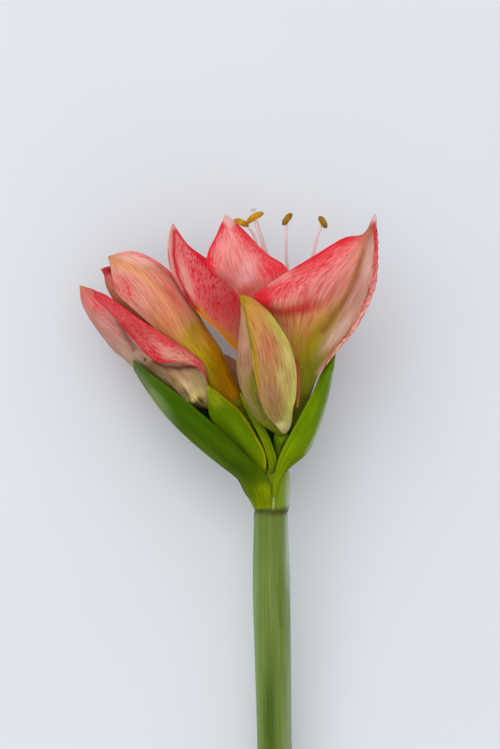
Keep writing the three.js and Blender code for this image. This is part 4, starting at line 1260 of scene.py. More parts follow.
LEAVES = (
    Leaf("spathe_left", SPATHE_LEFT, LEFT_SPATHE_OUTER, LEFT_SPATHE_INNER, Slot.SPATHE, 1),
    Leaf("spathe_right", SPATHE_RIGHT, RIGHT_SPATHE_OUTER, RIGHT_SPATHE_INNER, Slot.SPATHE, 2),
    Leaf("bract_broad", BRACT_BROAD, BROAD_BRACT_OUTER, BRACT_INNER, Slot.BRACT, 3),
    Leaf("bract_narrow", BRACT_NARROW, NARROW_BRACT_OUTER, BRACT_INNER, Slot.BRACT, 4),
    Leaf("bract_rear", BRACT_REAR, REAR_BRACT_SHADED_FACE, REAR_BRACT_SHADED_FACE, Slot.BRACT, 5),
)


@dataclass(frozen=True)
class FlowerStalks:
    """The stalk under each bloom and bud, which swells into a three lobed seed case."""

    lobes: int = 3
    lobe_depth: float = 0.07

    def build(self) -> None:
        """Makes the four stalks."""
        green = Pigment(
            ((0, "#6A7C0C"), (0.5, "#506A06"), (0.75, "#466204"), (1, "#6A7C08")), 0.15,
        )
        skin = replace(LEAF_OUTER, name="stalk_skin", glow=0.0)
        routes = {
            "right": STALK_RIGHT, "left": STALK_LEFT, "front_bud": STALK_FRONT_BUD,
            "rear_bud": STALK_REAR_BUD,
        }
        for seed, (label, stations) in enumerate(routes.items()):
            node = f"flower_stalk_{label}"
            piece = Rod(
                f"{node}_rod", stations, green, skin, 30, 40, self.lobes, self.lobe_depth, seed
            ).build()
            settle(piece, (node,), Slot.STALK)


# ---- buds ----------------------------------------------------------------------------------------


@dataclass(frozen=True)
class Wrap:
    """One petal of a bud: the angles round the bud where it starts and ends, and its rise in mm."""

    start: Callable[[np.ndarray], np.ndarray]
    end: Callable[[np.ndarray], np.ndarray]
    rise: tuple[float, float]


def front_edge(t: np.ndarray) -> np.ndarray:
    """Angle of the free edge that crosses the bud's front."""
    return -22 - 26 * t**4 + 22 * (1 - t) ** 6


def side_edge(t: np.ndarray) -> np.ndarray:
    """Angle of the free edge at the bud's right side."""
    return 112 - 50 * (1 - t) ** 6


FRONT_WRAP = Wrap(front_edge, lambda t: side_edge(t) + 4, (1.3, 0.6))
SIDE_WRAP = Wrap(lambda t: side_edge(t) - 22, lambda t: 218 + 0 * t, (-0.6, 0.9))
REAR_WRAP = Wrap(lambda t: 195 + 0 * t, lambda t: 384 + front_edge(t), (-0.4, 0.2))


@dataclass(frozen=True)
class Bud:
    """A closed bud: three petals rolled round each other over a firm core.

    Inset is how far the core lies inside the bud's stations, in mm, down to the least half width.
    """

    node: str
    stations: tuple[Point, ...]
    faces: tuple[Pigment, Pigment, Pigment]
    core: Pigment
    scale: float = 1.0
    tucked: Net = ()
    inset: float = 0.8
    least: float = 0.25
    net_rows: int = 26
    net_columns: int = 13

    def petal_net(self, wrap: Wrap) -> np.ndarray:
        """The net of one petal on the bud's skin."""
        stations = np.array(self.stations, float)
        t, part = np.linspace(0, 1, self.net_rows), np.linspace(0, 1, self.net_columns)
        centre, side, front, _ = path_frame(stations[:, :3], t)
        girth = spline(stations[:, 3:], t)
        start, end = wrap.start(t)[:, None], wrap.end(t)[:, None]
        angle = np.radians(start + (end - start) * part)
        rise = (wrap.rise[0] + (wrap.rise[1] - wrap.rise[0]) * part) * self.scale
        rise = rise * (np.sin(np.pi * t).clip(0) ** 0.4)[:, None]
        wide, deep = girth[:, :1] + rise, girth[:, 1:] + rise
        across = side[:, None] * (np.sin(angle) * wide)[..., None]
        return centre[:, None] + across + front[:, None] * (np.cos(angle) * deep)[..., None]

    def build(self) -> None:
        """Makes the core, the three petals and the edge of a tucked one."""
        slim = tuple(
            (*s[:3], *(max(half - self.inset, self.least) for half in s[3:])) for s in self.stations
        )
        skins = (BUD_OUTER, BUD_INNER)
        pieces = [Rod(f"{self.node}_core", slim, self.core, BUD_OUTER, 40, 60).build()]
        if self.tucked:
            edge = Blade(
                f"{self.node}_tucked_petal", self.tucked, TUCKED_PETAL, TUCKED_PETAL, skins, 0.7,
                crimp=0.1, across=8, along=60, seed=27,
            )
            pieces.append(edge.build())
        wraps = {"front": FRONT_WRAP, "side": SIDE_WRAP, "rear": REAR_WRAP}
        for seed, ((label, wrap), face) in enumerate(zip(wraps.items(), self.faces)):
            petal = Blade(
                f"{self.node}_{label}_petal", self.petal_net(wrap), face, self.core, skins,
                0.8 * self.scale, crimp=0.05, seed=20 + seed,
            )
            pieces.append(petal.build())
        for piece in pieces:
            settle(piece, (self.node,), Slot.BUD)


FRONT_BUD_FRONT = Pigment(
    ((0, "#A8A850"), (0.07, "#B8B070"), (0.16, "#9C8648"), (0.35, "#B0864C"), (0.55, "#B48650"),
     (0.75, "#CC9050"), (0.9, "#C89030"), (1, "#B88A1C")),
    0.22,
    (
        Line(
            ((-17, 115), (-14, 103), (-11, 90), (-9.2, 78), (-8.5, 66)),
            1.6, "#A88C00", 1.0, -0.4,
        ),
        Line(((-15.6, 109), (-12.8, 97), (-10.6, 86)), 0.6, "#6E6A02", 0.7, -0.3),
        Line(
            ((0.8, 104.6), (5.5, 98), (9.5, 91.2), (12, 83), (13.6, 75.5), (14, 66), (11.6, 54)),
            4.4, "#D2D85C", 0.95, -0.3,
        ),
        Blush(-8, 103, 8, 3.4, 115, "#C48E44", 0.7, -0.1),
        Blush(-2.3, 87, 9, 3.6, 100, "#C07252", 0.75, 0.16),
        Blush(5.5, 70, 9, 3.4, 100, "#C8B468", 0.8, -0.1),
        Blush(9, 80, 10, 3.2, 105, "#DCCA76", 0.8, -0.12),
        Blush(-1, 62, 10, 3.4, 110, "#A47C5C", 0.7, 0.12),
        Blush(1, 54, 6, 4, 110, "#8E7A3E", 0.6),
        Blush(4.5, 44.5, 4, 2, 10, "#D9D592", 0.9, -0.3),
        Blush(8, 48, 5, 2.5, 70, "#B8BF5A", 0.7, -0.3),
    ),
)
FRONT_BUD_SIDE = Pigment(((0, "#7A7A2A"), (0.4, "#A98062"), (0.8, "#B08254"), (1, "#B8902C")), 0.2)
FRONT_BUD_REAR = Pigment(
    ((0, "#5C6E00"), (0.15, "#6E7600"), (0.35, "#9C8450"), (0.6, "#AC8468"), (0.85, "#C09468"),
     (1, "#B88A1C")),
    0.15,
    (
        Line(((-4, 49), (-7, 56), (-9.8, 64), (-10.6, 73)), 1.9, "#5E6400", 0.95, -0.2),
        Blush(-15.5, 86, 12, 2.0, 97, "#BC8E74", 0.7),
        Blush(-13.5, 76, 9, 2.6, 97, "#A0764C", 0.6),
        Blush(-11, 64, 8, 3, 100, "#7C7410", 0.7),
    ),
)
# The edge of an inner petal that peeps out at the bud's right side.
TUCKED_PETAL = Pigment(((0, "#A87A3C"), (0.3, "#A0552C"), (0.7, "#9C4824"), (1, "#A87A3C")), 0.2)
BUD_CORE = Pigment(((0, "#6E7A1E"), (0.5, "#8A6A48"), (1, "#A4882C")), 0.1)
REAR_BUD_FACE = Pigment(
    ((0, "#6E7A1E"), (0.3, "#A8842C"), (0.6, "#D8A06A"), (0.85, "#E0A888"), (1, "#B8902C")), 0.2,
    (Blush(-17, 70, 10, 2.2, 110, "#E6B48E", 0.7),),
)


# ---- blooms --------------------------------------------------------------------------------------


@dataclass(frozen=True)
class Throat:
    """Foot, throat and mouth of a bloom, and the radius and length of its cup, all in mm."""

    name: str
    foot: Point
    throat: Point
    mouth: Point
    radius: float = 8.2
    cup_long: float = 30.0

    def petal_net(self, midrib: tuple[Point, ...], share: float, cup: float) -> np.ndarray:
        """Lays out a petal by its midrib, with its edges drawn toward the bloom's axis.

        Args:
            midrib: Points from the throat to the tip.
            share: Its width, as a share of a full petal's.
            cup: How far its edges are drawn in, as a share of the half width.

        Returns:
            The petal's net.
        """
        half = np.array(HIDDEN_PETAL_HALVES)[:, None] * share
        t = np.linspace(0, 1, len(half))
        ribs, foot = np.array(midrib, float), np.array(self.foot, float)
        centre = spline(ribs, t)
        along = path_ways(ribs, t)
        axis = unit(np.array(self.mouth, float) - foot)
        reach = centre - foot
        outward = reach - axis * (reach @ axis)[:, None]
        outward = unit(outward - along * (outward * along).sum(-1, keepdims=True))
        across = np.cross(along, outward)
        edge = centre - outward * cup * half * np.minimum(1, 0.45 + 2 * t)[:, None]
        return np.stack([edge - across * half, centre, edge + across * half], axis=1)

    def cup(self, pigment: Pigment) -> bpy.types.Object:
        """Makes the cup that the petals grow from, open toward the mouth."""
        foot, throat, r = np.array(self.foot), np.array(self.throat), self.radius
        # Place from foot to throat and radius, up the outside and back down the inside.
        places = ((-0.25, 4.2), (0.05, 4.9), (0.35, r - 2), (0.7, r - 0.6), (1, r), (1.02, r - 0.8),
                  (0.99, r - 1.6), (0.65, r - 2.9), (0.4, 2.2))
        piece, u, v = new_grid(f"{self.name}_throat_cup", 40, 42)
        profile = spline(np.array(places, float), v)
        side, front = round_axis(unit(throat - foot))
        turn = 2 * np.pi * u
        points = foot + (throat - foot) * profile[:, :1] + profile[:, 1:] * (
            side * np.sin(turn)[:, None] + front * np.cos(turn)[:, None]
        )
        set_points(piece, points)
        set_vein_map(piece, turn * r, v * self.cup_long)
        set_pigment(piece, Face.OUTER, pigment.on(points, u, v))
        piece.data.materials.append(PETAL_OUTER.material())
        close_tube(piece)
        return piece


RIGHT_THROAT = Throat("bloom_right", (12.2, 49.6, 0.6), (12.8, 60.5, 0.8), (0, 130, -18))
LEFT_THROAT = Throat("bloom_left", (-15.8, 46.6, 0.9), (-21.6, 56.5, 1.3), (-70, 106, -8))

CUP_GREEN = Pigment(((0, "#66760A"), (0.5, "#7E8408"), (1, "#A8A83A")), 0.05)
HIDDEN_OUTER = Pigment(
    ((0, "#7E8408"), (0.15, "#8E8A20"), (0.3, "#C49A72"), (0.5, "#E09A88"), (0.8, "#E07A74"),
     (1, "#E6A48E")),
    0.12,
    (
        Stripe(0.5, 0.08, 0.1, 0.95, "#B9B070", 0.55), Stripe(0.0, 0.07, 0.3, 1, "#D9303C", 0.8),
        Stripe(1.0, 0.07, 0.3, 1, "#D9303C", 0.8),
    ),
)
HIDDEN_INNER = Pigment(
    ((0, "#8FA030"), (0.2, "#C8C070"), (0.35, "#EBA890"), (0.6, "#E4625F"), (0.85, "#DD4450"),
     (1, "#E48A78")),
    0.4,
    (
        Stripe(0.5, 0.05, 0.15, 0.95, "#F4D8CC", 0.75, -0.4),
        Stripe(0.0, 0.06, 0.3, 1, "#F3C4B8", 0.5), Stripe(1.0, 0.06, 0.3, 1, "#F3C4B8", 0.5),
    ),
)

LEFT_FRONT_OUTER = Pigment(
    ((0, "#7E8400"), (0.2, "#A8863A"), (0.34, "#C86A48"), (0.5, "#E08078"), (0.7, "#F09C94"),
     (0.88, "#F6AEA6"), (1, "#F4B8A8")),
    0.14,
    (
        # Whitish pink middle: painted highlight.
        Blush(-13, 128, 15, 5, 75, "#F2B0AC", 0.9, -0.1),
        Blush(-22, 152, 8, 3.4, 110, "#FAC8C2", 0.8, -0.1),
        Blush(-27, 127, 6, 4, 60, "#D8827C", 0.7, 0.02),
        # Dark orange red patch low down: painted shadow of the bud's tip.
        Blush(-15, 117, 8, 4.4, 40, "#CC4422", 0.8, 0.2),
        Blush(-28, 136, 8, 3.4, 80, "#EE8882", 0.6, 0.2),
        Line(((-34, 129), (-35, 139), (-31, 149), (-27.6, 154)), 3.4, "#EE6A6C", 0.7, 0.66),
        Line(((-34.6, 129), (-35.6, 139), (-31.6, 149), (-28, 154)), 1.2, "#E42A40", 0.9, 0.2),
        Line(((-35, 128), (-28, 123), (-22, 119)), 2.4, "#DC6A64", 0.6, 0.15),
        Line(
            ((-18, 152), (-12.8, 147.4), (-3, 138), (6.4, 130), (12, 125)),
            7.0, "#F86466", 0.75, 0.62,
        ),
        Line(((-19, 154), (-13.4, 149.8), (-2.2, 139.4), (8, 131.6)), 1.3, "#F0142C", 0.85, 0.1),
        Blush(-1, 126, 9, 6, 140, "#F07470", 0.6, 0.3),
        Blush(-24, 157.6, 4.4, 2.6, 110, "#F8C8C4", 0.95, -0.8),
    ),
)
LEFT_FRONT_INNER = Pigment(
    ((0, "#A8B050"), (0.3, "#E9A68E"), (0.6, "#E25258"), (1, "#E48A78")), 0.45
)

KEELED_OUTER = Pigment(
    ((0, "#6E7400"), (0.12, "#868000"), (0.24, "#B0882A"), (0.36, "#D08E5C"), (0.5, "#E4928A"),
     (0.7, "#F29E96"), (0.9, "#F6AAA0"), (1, "#F2BCAA")),
    0.22,
    (
        # pale tube below the lobe, and the yellow green that runs up beside it
        Blush(7, 96, 10, 5, 100, "#D28E62", 0.9, -0.05),
        Blush(13, 84, 12, 5, 100, "#B89432", 0.85, -0.1),
        Blush(24, 88, 24, 6, 66, "#A48E08", 0.95, -0.15),
        Blush(22, 72, 15, 8, 80, "#7C8400", 0.9, -0.15),
        Blush(33, 101, 14, 3.6, 60, "#B8A048", 0.8, -0.1),
        # left lobe that swells toward the viewer; the dark band under it and the dark line along
        # the crease are painted shade
        Blush(13, 122, 15, 6, 20, "#F6ACA4", 0.8, -0.02),
        Blush(4, 118, 11, 6, 20, "#EA6C6C", 0.7, 0.5),
        Blush(-6, 115.4, 6, 5, 100, "#D83040", 0.8, 0.45),
        Line(
            ((-8, 114), (-4, 109.6), (1.6, 106.8), (8, 106.6), (13, 107.6), (18, 109.4)),
            3.1, "#B03A1E", 0.85, 0.12,
        ),
        Blush(22, 110, 9, 3.4, 15, "#B44C30", 0.75, 0.1),
        Blush(18.8, 116, 8, 3.4, 90, "#D8605C", 0.7, 0.1),
        Line(((18.7, 109), (18.9, 122)), 1.1, "#B03038", 0.4, 0.04),
        # upper field, its flush and its red top margin
        Blush(30, 124, 12, 6, 35, "#DC8078", 0.8, 0.04),
        Blush(22, 129, 14, 5, 30, "#F27C7A", 0.7, 0.38),
        Blush(38, 139, 11, 5, 35, "#F88C86", 0.7, 0.22),
        Line(
            ((11, 131), (26, 138.4), (37, 145.2), (44, 147.8), (49, 149)),
            4.4, "#F86C6E", 0.85, 0.42,
        ),
        Line(((14, 132), (26, 138.8), (37, 146.2), (44, 149.4)), 1.5, "#F01428", 0.95, 0.15),
        Line(((36, 146), (43, 149)), 2.6, "#F21C30", 0.8, 0.1),
        # keel from the tip down into the green tube
        Line(
            ((54.5, 153), (53, 149), (49.8, 140), (47.6, 132), (42.5, 119.5), (36, 108), (28, 97)),
            1.9, "#966424", 0.9, -0.3,
        ),
        Line(((51, 150), (46, 141), (41.5, 131), (36, 120), (29, 110)), 2.6, "#D08064", 0.6, -0.1),
        # right half: pale cream pink, down to its rolled margin
        Blush(53, 134, 17, 3.4, 78, "#F2C4AE", 0.95, -0.3),
        Blush(45, 111, 18, 4.2, 60, "#D4A48E", 0.95, -0.3),
        Blush(36, 95, 13, 3.4, 50, "#E8C4AC", 0.9, -0.3),
        Line(
            ((57, 150), (57.6, 142), (57.2, 130), (56.8, 122), (53.6, 112)),
            1.2, "#E8323C", 0.9, 0.3,
        ),
        Line(((40, 92), (34, 84), (28, 77), (25.5, 73)), 1.5, "#E9A088", 0.9, 0.1),
        Line(((56, 155), (55.6, 151), (56.4, 145)), 1.0, "#F01C30", 0.95, 0.2),
        Blush(57, 159, 3.4, 2, 90, "#F4E4DA", 0.95, -0.8),
    ),
)
KEELED_INNER = Pigment(
    ((0, "#98A030"), (0.25, "#D8B088"), (0.45, "#E46A64"), (0.8, "#E25A5C"), (1, "#EFB2A2")), 0.45
)
# The margin of the keeled petal rolls out, so its spotted inner face shows.
ROLLED_FACE = Pigment(
    ((0, "#F4C0A4"), (0.3, "#F8B8A4"), (0.55, "#F49890"), (0.8, "#F25A5E"), (1, "#F09088")), 0.5
)

WING_OUTER = Pigment(
    ((0, "#8A8A18"), (0.2, "#C49A5A"), (0.4, "#D98A70"), (0.7, "#E27E76"), (1, "#E8A090")), 0.12,
    (Stripe(0.5, 0.08, 0.1, 0.95, "#C0A868", 0.6),),
)
# The wing's inner face, painted brighter than its own red, most in the patches near its top:
# painted light on a face that lies in shade.
WING_INNER = Pigment(
    ((0, "#C88A08"), (0.14, "#CC8014"), (0.26, "#D07C4C"), (0.4, "#E0706A"), (0.6, "#F8787C"),
     (0.8, "#FF8080"), (1, "#F8B8A8")),
    0.46,
    (
        Blush(-21, 99, 10, 5, 130, "#C88060", 0.65, -0.1),
        Blush(-27, 108, 12, 6, 130, "#CC5450", 0.75, 0.06),
        Blush(-21, 113, 8, 5, 100, "#E84C54", 0.7, 0.1),
        Blush(-41, 130, 13, 6, 110, "#FF7A7C", 0.9, 0.08),
        Blush(-47, 142, 9, 4, 115, "#FFA0A4", 0.8, 0.02),
        # pale fields beside the fold, the cream margin and its red lines
        Blush(-47.5, 125, 14, 2.2, 108, "#F8BCAC", 0.85, -0.4),
        Line(
            ((-55.8, 153), (-57, 140), (-55.4, 128.6), (-48.4, 116.8)),
            1.9, "#F8C4B2", 0.95, -0.5,
        ),
        Line(((-54, 151), (-54.4, 138), (-52, 126), (-46.5, 115)), 0.9, "#D81428", 0.95, 0.2),
        Line(((-57.6, 141), (-56, 128.8), (-49, 117)), 0.6, "#E03A40", 0.8),
        Line(((-51.5, 151), (-44, 141.4), (-37, 134), (-31, 127)), 1.7, "#F0142E", 0.9, 0.3),
        # orange lower edge near the throat
        Line(
            ((-42, 107.5), (-38, 102.4), (-30.5, 95.4), (-24, 89.6), (-18, 84)),
            3.2, "#EC9E08", 1.0, -0.6,
        ),
        Line(((-48, 116), (-42, 108)), 1.8, "#B81408", 0.85, 0.1),
    ),
)

UPPER_OUTER = Pigment(
    ((0, "#8E7600"), (0.15, "#A08600"), (0.32, "#BCA010"), (0.42, "#D09E48"), (0.55, "#DC9272"),
     (0.75, "#EAA48E"), (0.92, "#F0AE90"), (1, "#E4A478")),
    0.16,
    (
        Blush(-45, 93, 15, 4.4, 52, "#B49A08", 0.85, -0.15),
        Blush(-33, 72, 16, 5, 58, "#9A8600", 0.85, -0.15),
        Line(((-21, 62), (-26, 74), (-31, 84), (-38, 98)), 2.4, "#D08800", 0.85, -0.1),
        Line(((-24, 60), (-27, 66), (-31, 74)), 2.6, "#A87400", 0.6, -0.1),
        Line(
            ((-89.5, 135), (-82, 132.5), (-72, 128), (-62, 119), (-53, 106)),
            2.2, "#E8A068", 0.9, -0.3,
        ),
        Blush(-81, 120, 9, 4.4, 130, "#E07C74", 0.8, 0.34),
        Blush(-74, 110, 12, 4, 130, "#E4A08E", 0.7, 0.14),
        Blush(-57, 100, 12, 5, 130, "#D88A5C", 0.7, 0.08),
        Blush(-55, 116, 13, 4.4, 125, "#E2705A", 0.8, 0.2),
        Blush(-64, 127, 9, 3, 140, "#F4A080", 0.7, 0.1),
        # Pale peach strip along the top: painted highlight.
        Blush(-73, 135.6, 10, 2.6, 165, "#FFC8B4", 0.9, -0.1),
    ),
)
UPPER_INNER = Pigment(((0, "#8A8A20"), (0.4, "#D87A50"), (0.8, "#D84850"), (1, "#E0907A")), 0.4)
# The upper petal's margin turns up along its top, bright red, painted lighter than its own red:
# painted light on a margin that lies in shade.
TURNED_FACE = Pigment(((0, "#E87850"), (0.3, "#FF6C62"), (0.7, "#FF968C"), (1, "#FFB0A0")), 0.14)

LOWER_OUTER = Pigment(
    ((0, "#7C7A20"), (0.15, "#A89858"), (0.35, "#B09470"), (0.55, "#BC9680"), (0.75, "#CC9282"),
     (0.92, "#DA7E72"), (1, "#D8B05A")),
    0.14,
    (
        Blush(-96, 112, 8, 4, 125, "#D85C5C", 0.8, 0.4),
        Blush(-93, 105, 12, 4, 125, "#DE948A", 0.8, 0.12),
        Blush(-86, 96, 11, 4, 125, "#C89488", 0.7, 0.16),
        Blush(-78, 85, 9, 4, 130, "#C4A892", 0.8, -0.1),
        Blush(-67, 75, 9, 3.0, 140, "#98905C", 0.75, -0.1),
        # Dark line down the crease, in a softer brown band: painted shade.
        Line(((-86, 106), (-82.6, 100), (-79.4, 93), (-75.6, 86.6)), 1.5, "#74302C", 0.8, 0.1),
        Line(((-83, 100), (-79, 92), (-76, 87)), 2.6, "#A86A62", 0.5),
        Blush(-50, 68, 15, 4.4, 150, "#DCC48A", 0.85, -0.2),
        # Dark brown line under the flap's lower edge: painted shadow of the flap.
        Line(
            ((-65, 79.4), (-58, 76.6), (-51, 76), (-45, 76.8), (-38, 76.4)),
            1.5, "#682A14", 0.95, 0.1,
        ),
        Line(((-66, 77), (-59, 73.4), (-54, 69)), 2.6, "#7A5A38", 0.75),
        Line(((-54, 68), (-50, 64), (-45, 59)), 1.5, "#786A34", 0.6),
        Blush(-45, 59, 7.5, 3.0, 30, "#F4E88E", 0.95, -0.4),
        Line(((-40.2, 59.4), (-38.4, 57.8)), 0.9, "#3E4A08", 0.9),
        Line(((-69.4, 81.6), (-69.9, 80.2)), 0.55, "#161208", 0.95),
    ),
)
FLAP_FACE = Pigment(
    ((0, "#C88A78"), (0.15, "#C87268"), (0.4, "#CC625C"), (0.7, "#D05E5C"), (0.92, "#E84450"),
     (1, "#D8A050")),
    0.5,
    (
        Line(
            ((-94, 117), (-88, 112), (-76, 104), (-62, 94), (-48, 83), (-40, 77)),
            1.6, "#F04A54", 0.7, 0.1,
        ),
        Line(
            ((-82, 100), (-74.5, 89), (-67, 81.6), (-58, 79), (-50, 79)),
            1.8, "#C8403C", 0.7, 0.24,
        ),
        Blush(-60, 86, 9, 2.6, 140, "#E49088", 0.6, -0.1),
        Blush(-51, 82, 9, 3.6, 160, "#DCA088", 0.85, -0.2),
        Blush(-74, 97, 7, 2.6, 125, "#C03A3C", 0.5, 0.15),
    ),
)

# Ridges and creases of the petals, with their height in mm.
KEELED_FOLDS = (
    (Line(((53, 149), (49.8, 140), (47.6, 132), (42.5, 119.5), (36, 108), (28, 97)), 1.6), 0.9),
    (Line(((18.7, 106), (18.9, 124)), 1.2), -0.7),
    (Line(((27, 108), (29.5, 122), (35, 134)), 2.4), -0.6),
    (Line(((6, 100), (10, 112), (14, 122)), 2.2), 0.4),
)
UPPER_FOLDS = (
    (Line(((-88, 134.5), (-82, 132), (-72, 127), (-62, 118), (-53, 105), (-43, 88)), 2.2), 0.7),
    (Line(((-78, 112), (-66, 102), (-54, 90)), 2.0), -0.4),
)
LOWER_FOLDS = (
    (Line(((-86, 106), (-82.6, 100), (-79.4, 93), (-75.6, 86.6)), 1.5), -0.9),
    (Line(((-60, 75), (-54, 67), (-49, 60)), 1.1), 0.8),
    (Line(((-56, 74), (-50, 66), (-46, 59)), 1.0), -0.9),
    (Line(((-51, 73), (-46, 64), (-43, 58)), 1.0), 0.9),
    (Line(((-46, 72), (-43, 64), (-41, 60)), 0.9), -0.7),
    (Blush(-44, 58, 3.4, 1.6, 30), 0.9),
)

LIP_OUTER = Pigment(
    ((0, "#8A7A10"), (0.5, "#C48A60"), (0.8, "#CC6A64"), (0.93, "#C4303A"), (1, "#E8B090")), 0.3,
    (Blush(-89.5, 129, 3.6, 1.8, 20, "#9A0E18", 0.95),),
)
LIP_INNER = Pigment(
    ((0, "#8A7A10"), (0.5, "#C85A54"), (0.85, "#A01522"), (0.95, "#B8202C"), (1, "#E8B090")), 0.5
)


@dataclass(frozen=True)
class Bloom:
    """A bloom: its throat, its petals in front, and three behind, which are guessed.

    The hidden petals have a share of a full petal's width, a cup and a frill, and seeds that count
    up from seed.
    """

    throat: Throat
    front: tuple[Blade | RolledMargin, ...]
    hidden: dict[str, tuple[Point, ...]]
    share: float
    cup: float
    frill: float
    seed: int

    def build(self) -> None:
        """Makes the throat and all six petals."""
        name = self.throat.name
        pieces = [self.throat.cup(CUP_GREEN), *(petal.build() for petal in self.front)]
        for phase, (label, midrib) in enumerate(self.hidden.items()):
            petal = Blade(
                f"{name}_{label}_petal", self.throat.petal_net(midrib, self.share, self.cup),
                HIDDEN_OUTER, HIDDEN_INNER, wave=Wave(self.frill, 3, phase), seed=self.seed + phase,
            )
            pieces.append(petal.build())
        for piece in pieces:
            settle(piece, (name,), Slot.PETAL)


# The wide open bloom: a keeled petal in front, one beside it and a wing.
RIGHT_BLOOM = Bloom(
    RIGHT_THROAT,
    (
        Blade(
            "bloom_right_front_left_petal", RIGHT_FRONT_LEFT, LEFT_FRONT_OUTER, LEFT_FRONT_INNER,
            wave=Wave(1.0, 3.5, 0.6), seed=31,
        ),
        Blade(
            "bloom_right_keeled_petal", RIGHT_FRONT_RIGHT, KEELED_OUTER, KEELED_INNER,
            wave=Wave(0.5, 5), folds=KEELED_FOLDS, seed=32, across=96, along=140,
        ),
        RolledMargin(
            "bloom_right_rolled_margin", RIGHT_FRONT_RIGHT, ROLLED_FACE, 0.14, 0.9, seed=52
        ),
        Blade(
            "bloom_right_wing_petal", RIGHT_WING, WING_OUTER, WING_INNER, (PETAL_OUTER, WING_LIT_SKIN),
            wave=Wave(0.4, 3.5), slant=30.0, seed=33, across=72, along=110,
        ),
    ),
    {"side": RIGHT_SIDE, "back": RIGHT_BACK, "back_left": RIGHT_BACK_LEFT},
    share=1.0, cup=0.35, frill=1.2, seed=34,
)
# The half open bloom: an upper petal, a lower one with a folded flap, and a lip.
LEFT_BLOOM = Bloom(
    LEFT_THROAT,
    (
        Blade(
            "bloom_left_upper_petal", LEFT_UPPER, UPPER_OUTER, UPPER_INNER,
            wave=Wave(0.3, 3.5), folds=UPPER_FOLDS, seed=41, across=80, along=120,
        ),
        RolledMargin(
            "bloom_left_turned_margin", LEFT_UPPER, TURNED_FACE, 0.5, 0.97, 4.4, 0.4, 0.2, 6, 53
        ),
        Blade(
            "bloom_left_lower_petal", LEFT_LOWER, LOWER_OUTER, FLAP_FACE,
            wave=Wave(0.4, 3.5), folds=LOWER_FOLDS, seed=42, across=110, along=150,
        ),
        Blade(
            "bloom_left_lip_petal", LEFT_INNER, LIP_OUTER, LIP_INNER, wave=Wave(0.2, 3.5), seed=43
        ),
    ),
    {"top_back": LEFT_TOP_BACK, "back": LEFT_BACK, "low_back": LEFT_LOW_BACK},
    share=0.9, cup=0.5, frill=1.0, seed=44,
)


# ---- threads, anthers and styles -----------------------------------------------------------------

FILAMENT_PINK = Pigment(((0, "#E8E2B8"), (0.3, "#EFC9C2"), (0.7, "#E9C0BC"), (1, "#F0D8D2")), 0.0)
STYLE_PALE = Pigment(((0, "#D8DCA8"), (0.3, "#EBCFC6"), (0.9, "#EBDAD4"), (1, "#F6F2EA")), 0.0)
FRESH_POLLEN = Pigment(((0, "#C98A12"), (0.5, "#E6AE22"), (1, "#C98A12")), 0.2)
DRY_POLLEN = Pigment(((0, "#9A7418"), (0.5, "#B48A2A"), (1, "#8E6C1C")), 0.35)


@dataclass(frozen=True)
class Stamens:
    """The six threads of a bloom on their ring, each with a loose anther at its end.

    The ring is sunk into the throat, and made of short rods that overlap. Sizes are in mm.
    """

    side_name: str
    throat: Throat
    routes: tuple[tuple[Point, ...], ...]
    anthers: tuple[tuple[Point, ...], ...] = ()
    ring: float = 4.2
    ring_rods: int = 12
    overlap: float = 0.15
    sunk: float = 1.6
    girth: float = 1.0
    thinning: float = 0.06
    gap: float = 0.35
    anther_half: float = 3.6
    anther_deep: float = 1.5

    def build(self) -> None:
        """Makes the threads and the anthers."""
        axis = unit(np.array(self.throat.throat) - np.array(self.throat.foot))
        seat = np.array(self.throat.throat) - axis * self.sunk
        side, front = round_axis(axis)
        turns = np.linspace(0, 2 * np.pi, self.ring_rods + 1)
        ways = [side * math.cos(turn) + front * math.sin(turn) for turn in turns]
        round_points = [seat + way * self.ring for way in ways]
        pieces = []
        for seed, route in enumerate(self.routes):
            aim = np.array(route[0]) - seat
            root = seat + unit(side * (aim @ side) + front * (aim @ front)) * self.ring
            ends = [tuple(root), *route]
            stations = tuple((*p, self.girth - self.thinning * i) for i, p in enumerate(ends))
            look = (FILAMENT_PINK, FILAMENT_SKIN)
            pieces.append(Rod(f"thread_{seed}", stations, *look, 14, 60, seed=seed).build())
        for index, (start, end) in enumerate(zip(round_points[:-1], round_points[1:])):
            lean = (end - start) * self.overlap
            stations = ((*(start - lean), 1.0), (*((start + end) / 2), 1.02), (*(end + lean), 1.0))
            rod = Rod(f"ring_{index}", stations, FILAMENT_PINK, FILAMENT_SKIN, 12, 4)
            pieces.append(rod.build())
        threads = join(f"threads_{self.side_name}_filaments", pieces)
        settle(threads, (f"threads_{self.side_name}",), Slot.FILAMENT)
        for index, line in enumerate(self.anthers or [self.crosswise(r) for r in self.routes]):
            self.anther(index + 1, line)

    def crosswise(self, route: tuple[Point, ...]) -> tuple[Point, ...]:
        """An anther's tail, middle and head where it lies across the end of its thread."""
        tip, before = np.array(route[-1], float), np.array(route[-2], float)
        along = unit(tip - before)
        across = unit(np.cross(along, UP))
        middle = tip + along * (self.anther_deep + self.gap)
        half, lift = across * self.anther_half, along * 0.5
        tail, head = middle - half + lift, middle + half + lift
        return tuple(tail), tuple(middle), tuple(head)

    def anther(self, number: int, line: tuple[Point, ...]) -> None:
        """Makes an anther: a crescent with a groove between its two pollen sacs."""
        curve = spline(np.array(line, float), np.array([0, 0.12, 0.3, 0.5, 0.7, 0.88, 1]))
        tail = ((0.4, 0.4), (1.1, 0.95), (1.5, 1.3))
        sizes = (*tail, (1.55, 1.35), *tail[::-1])
        stations = tuple((*point, *size) for point, size in zip(curve, sizes))
        fresh = self.side_name == "left" or number in (1, 2, 5)
        piece = Rod(
            f"anther_{self.side_name}_{number}_pollen", stations,
            FRESH_POLLEN if fresh else DRY_POLLEN, POLLEN, 28, 40, 2, -0.14, number,
        ).build()
        settle(piece, (f"anther_{self.side_name}_{number}",), Slot.ANTHER)


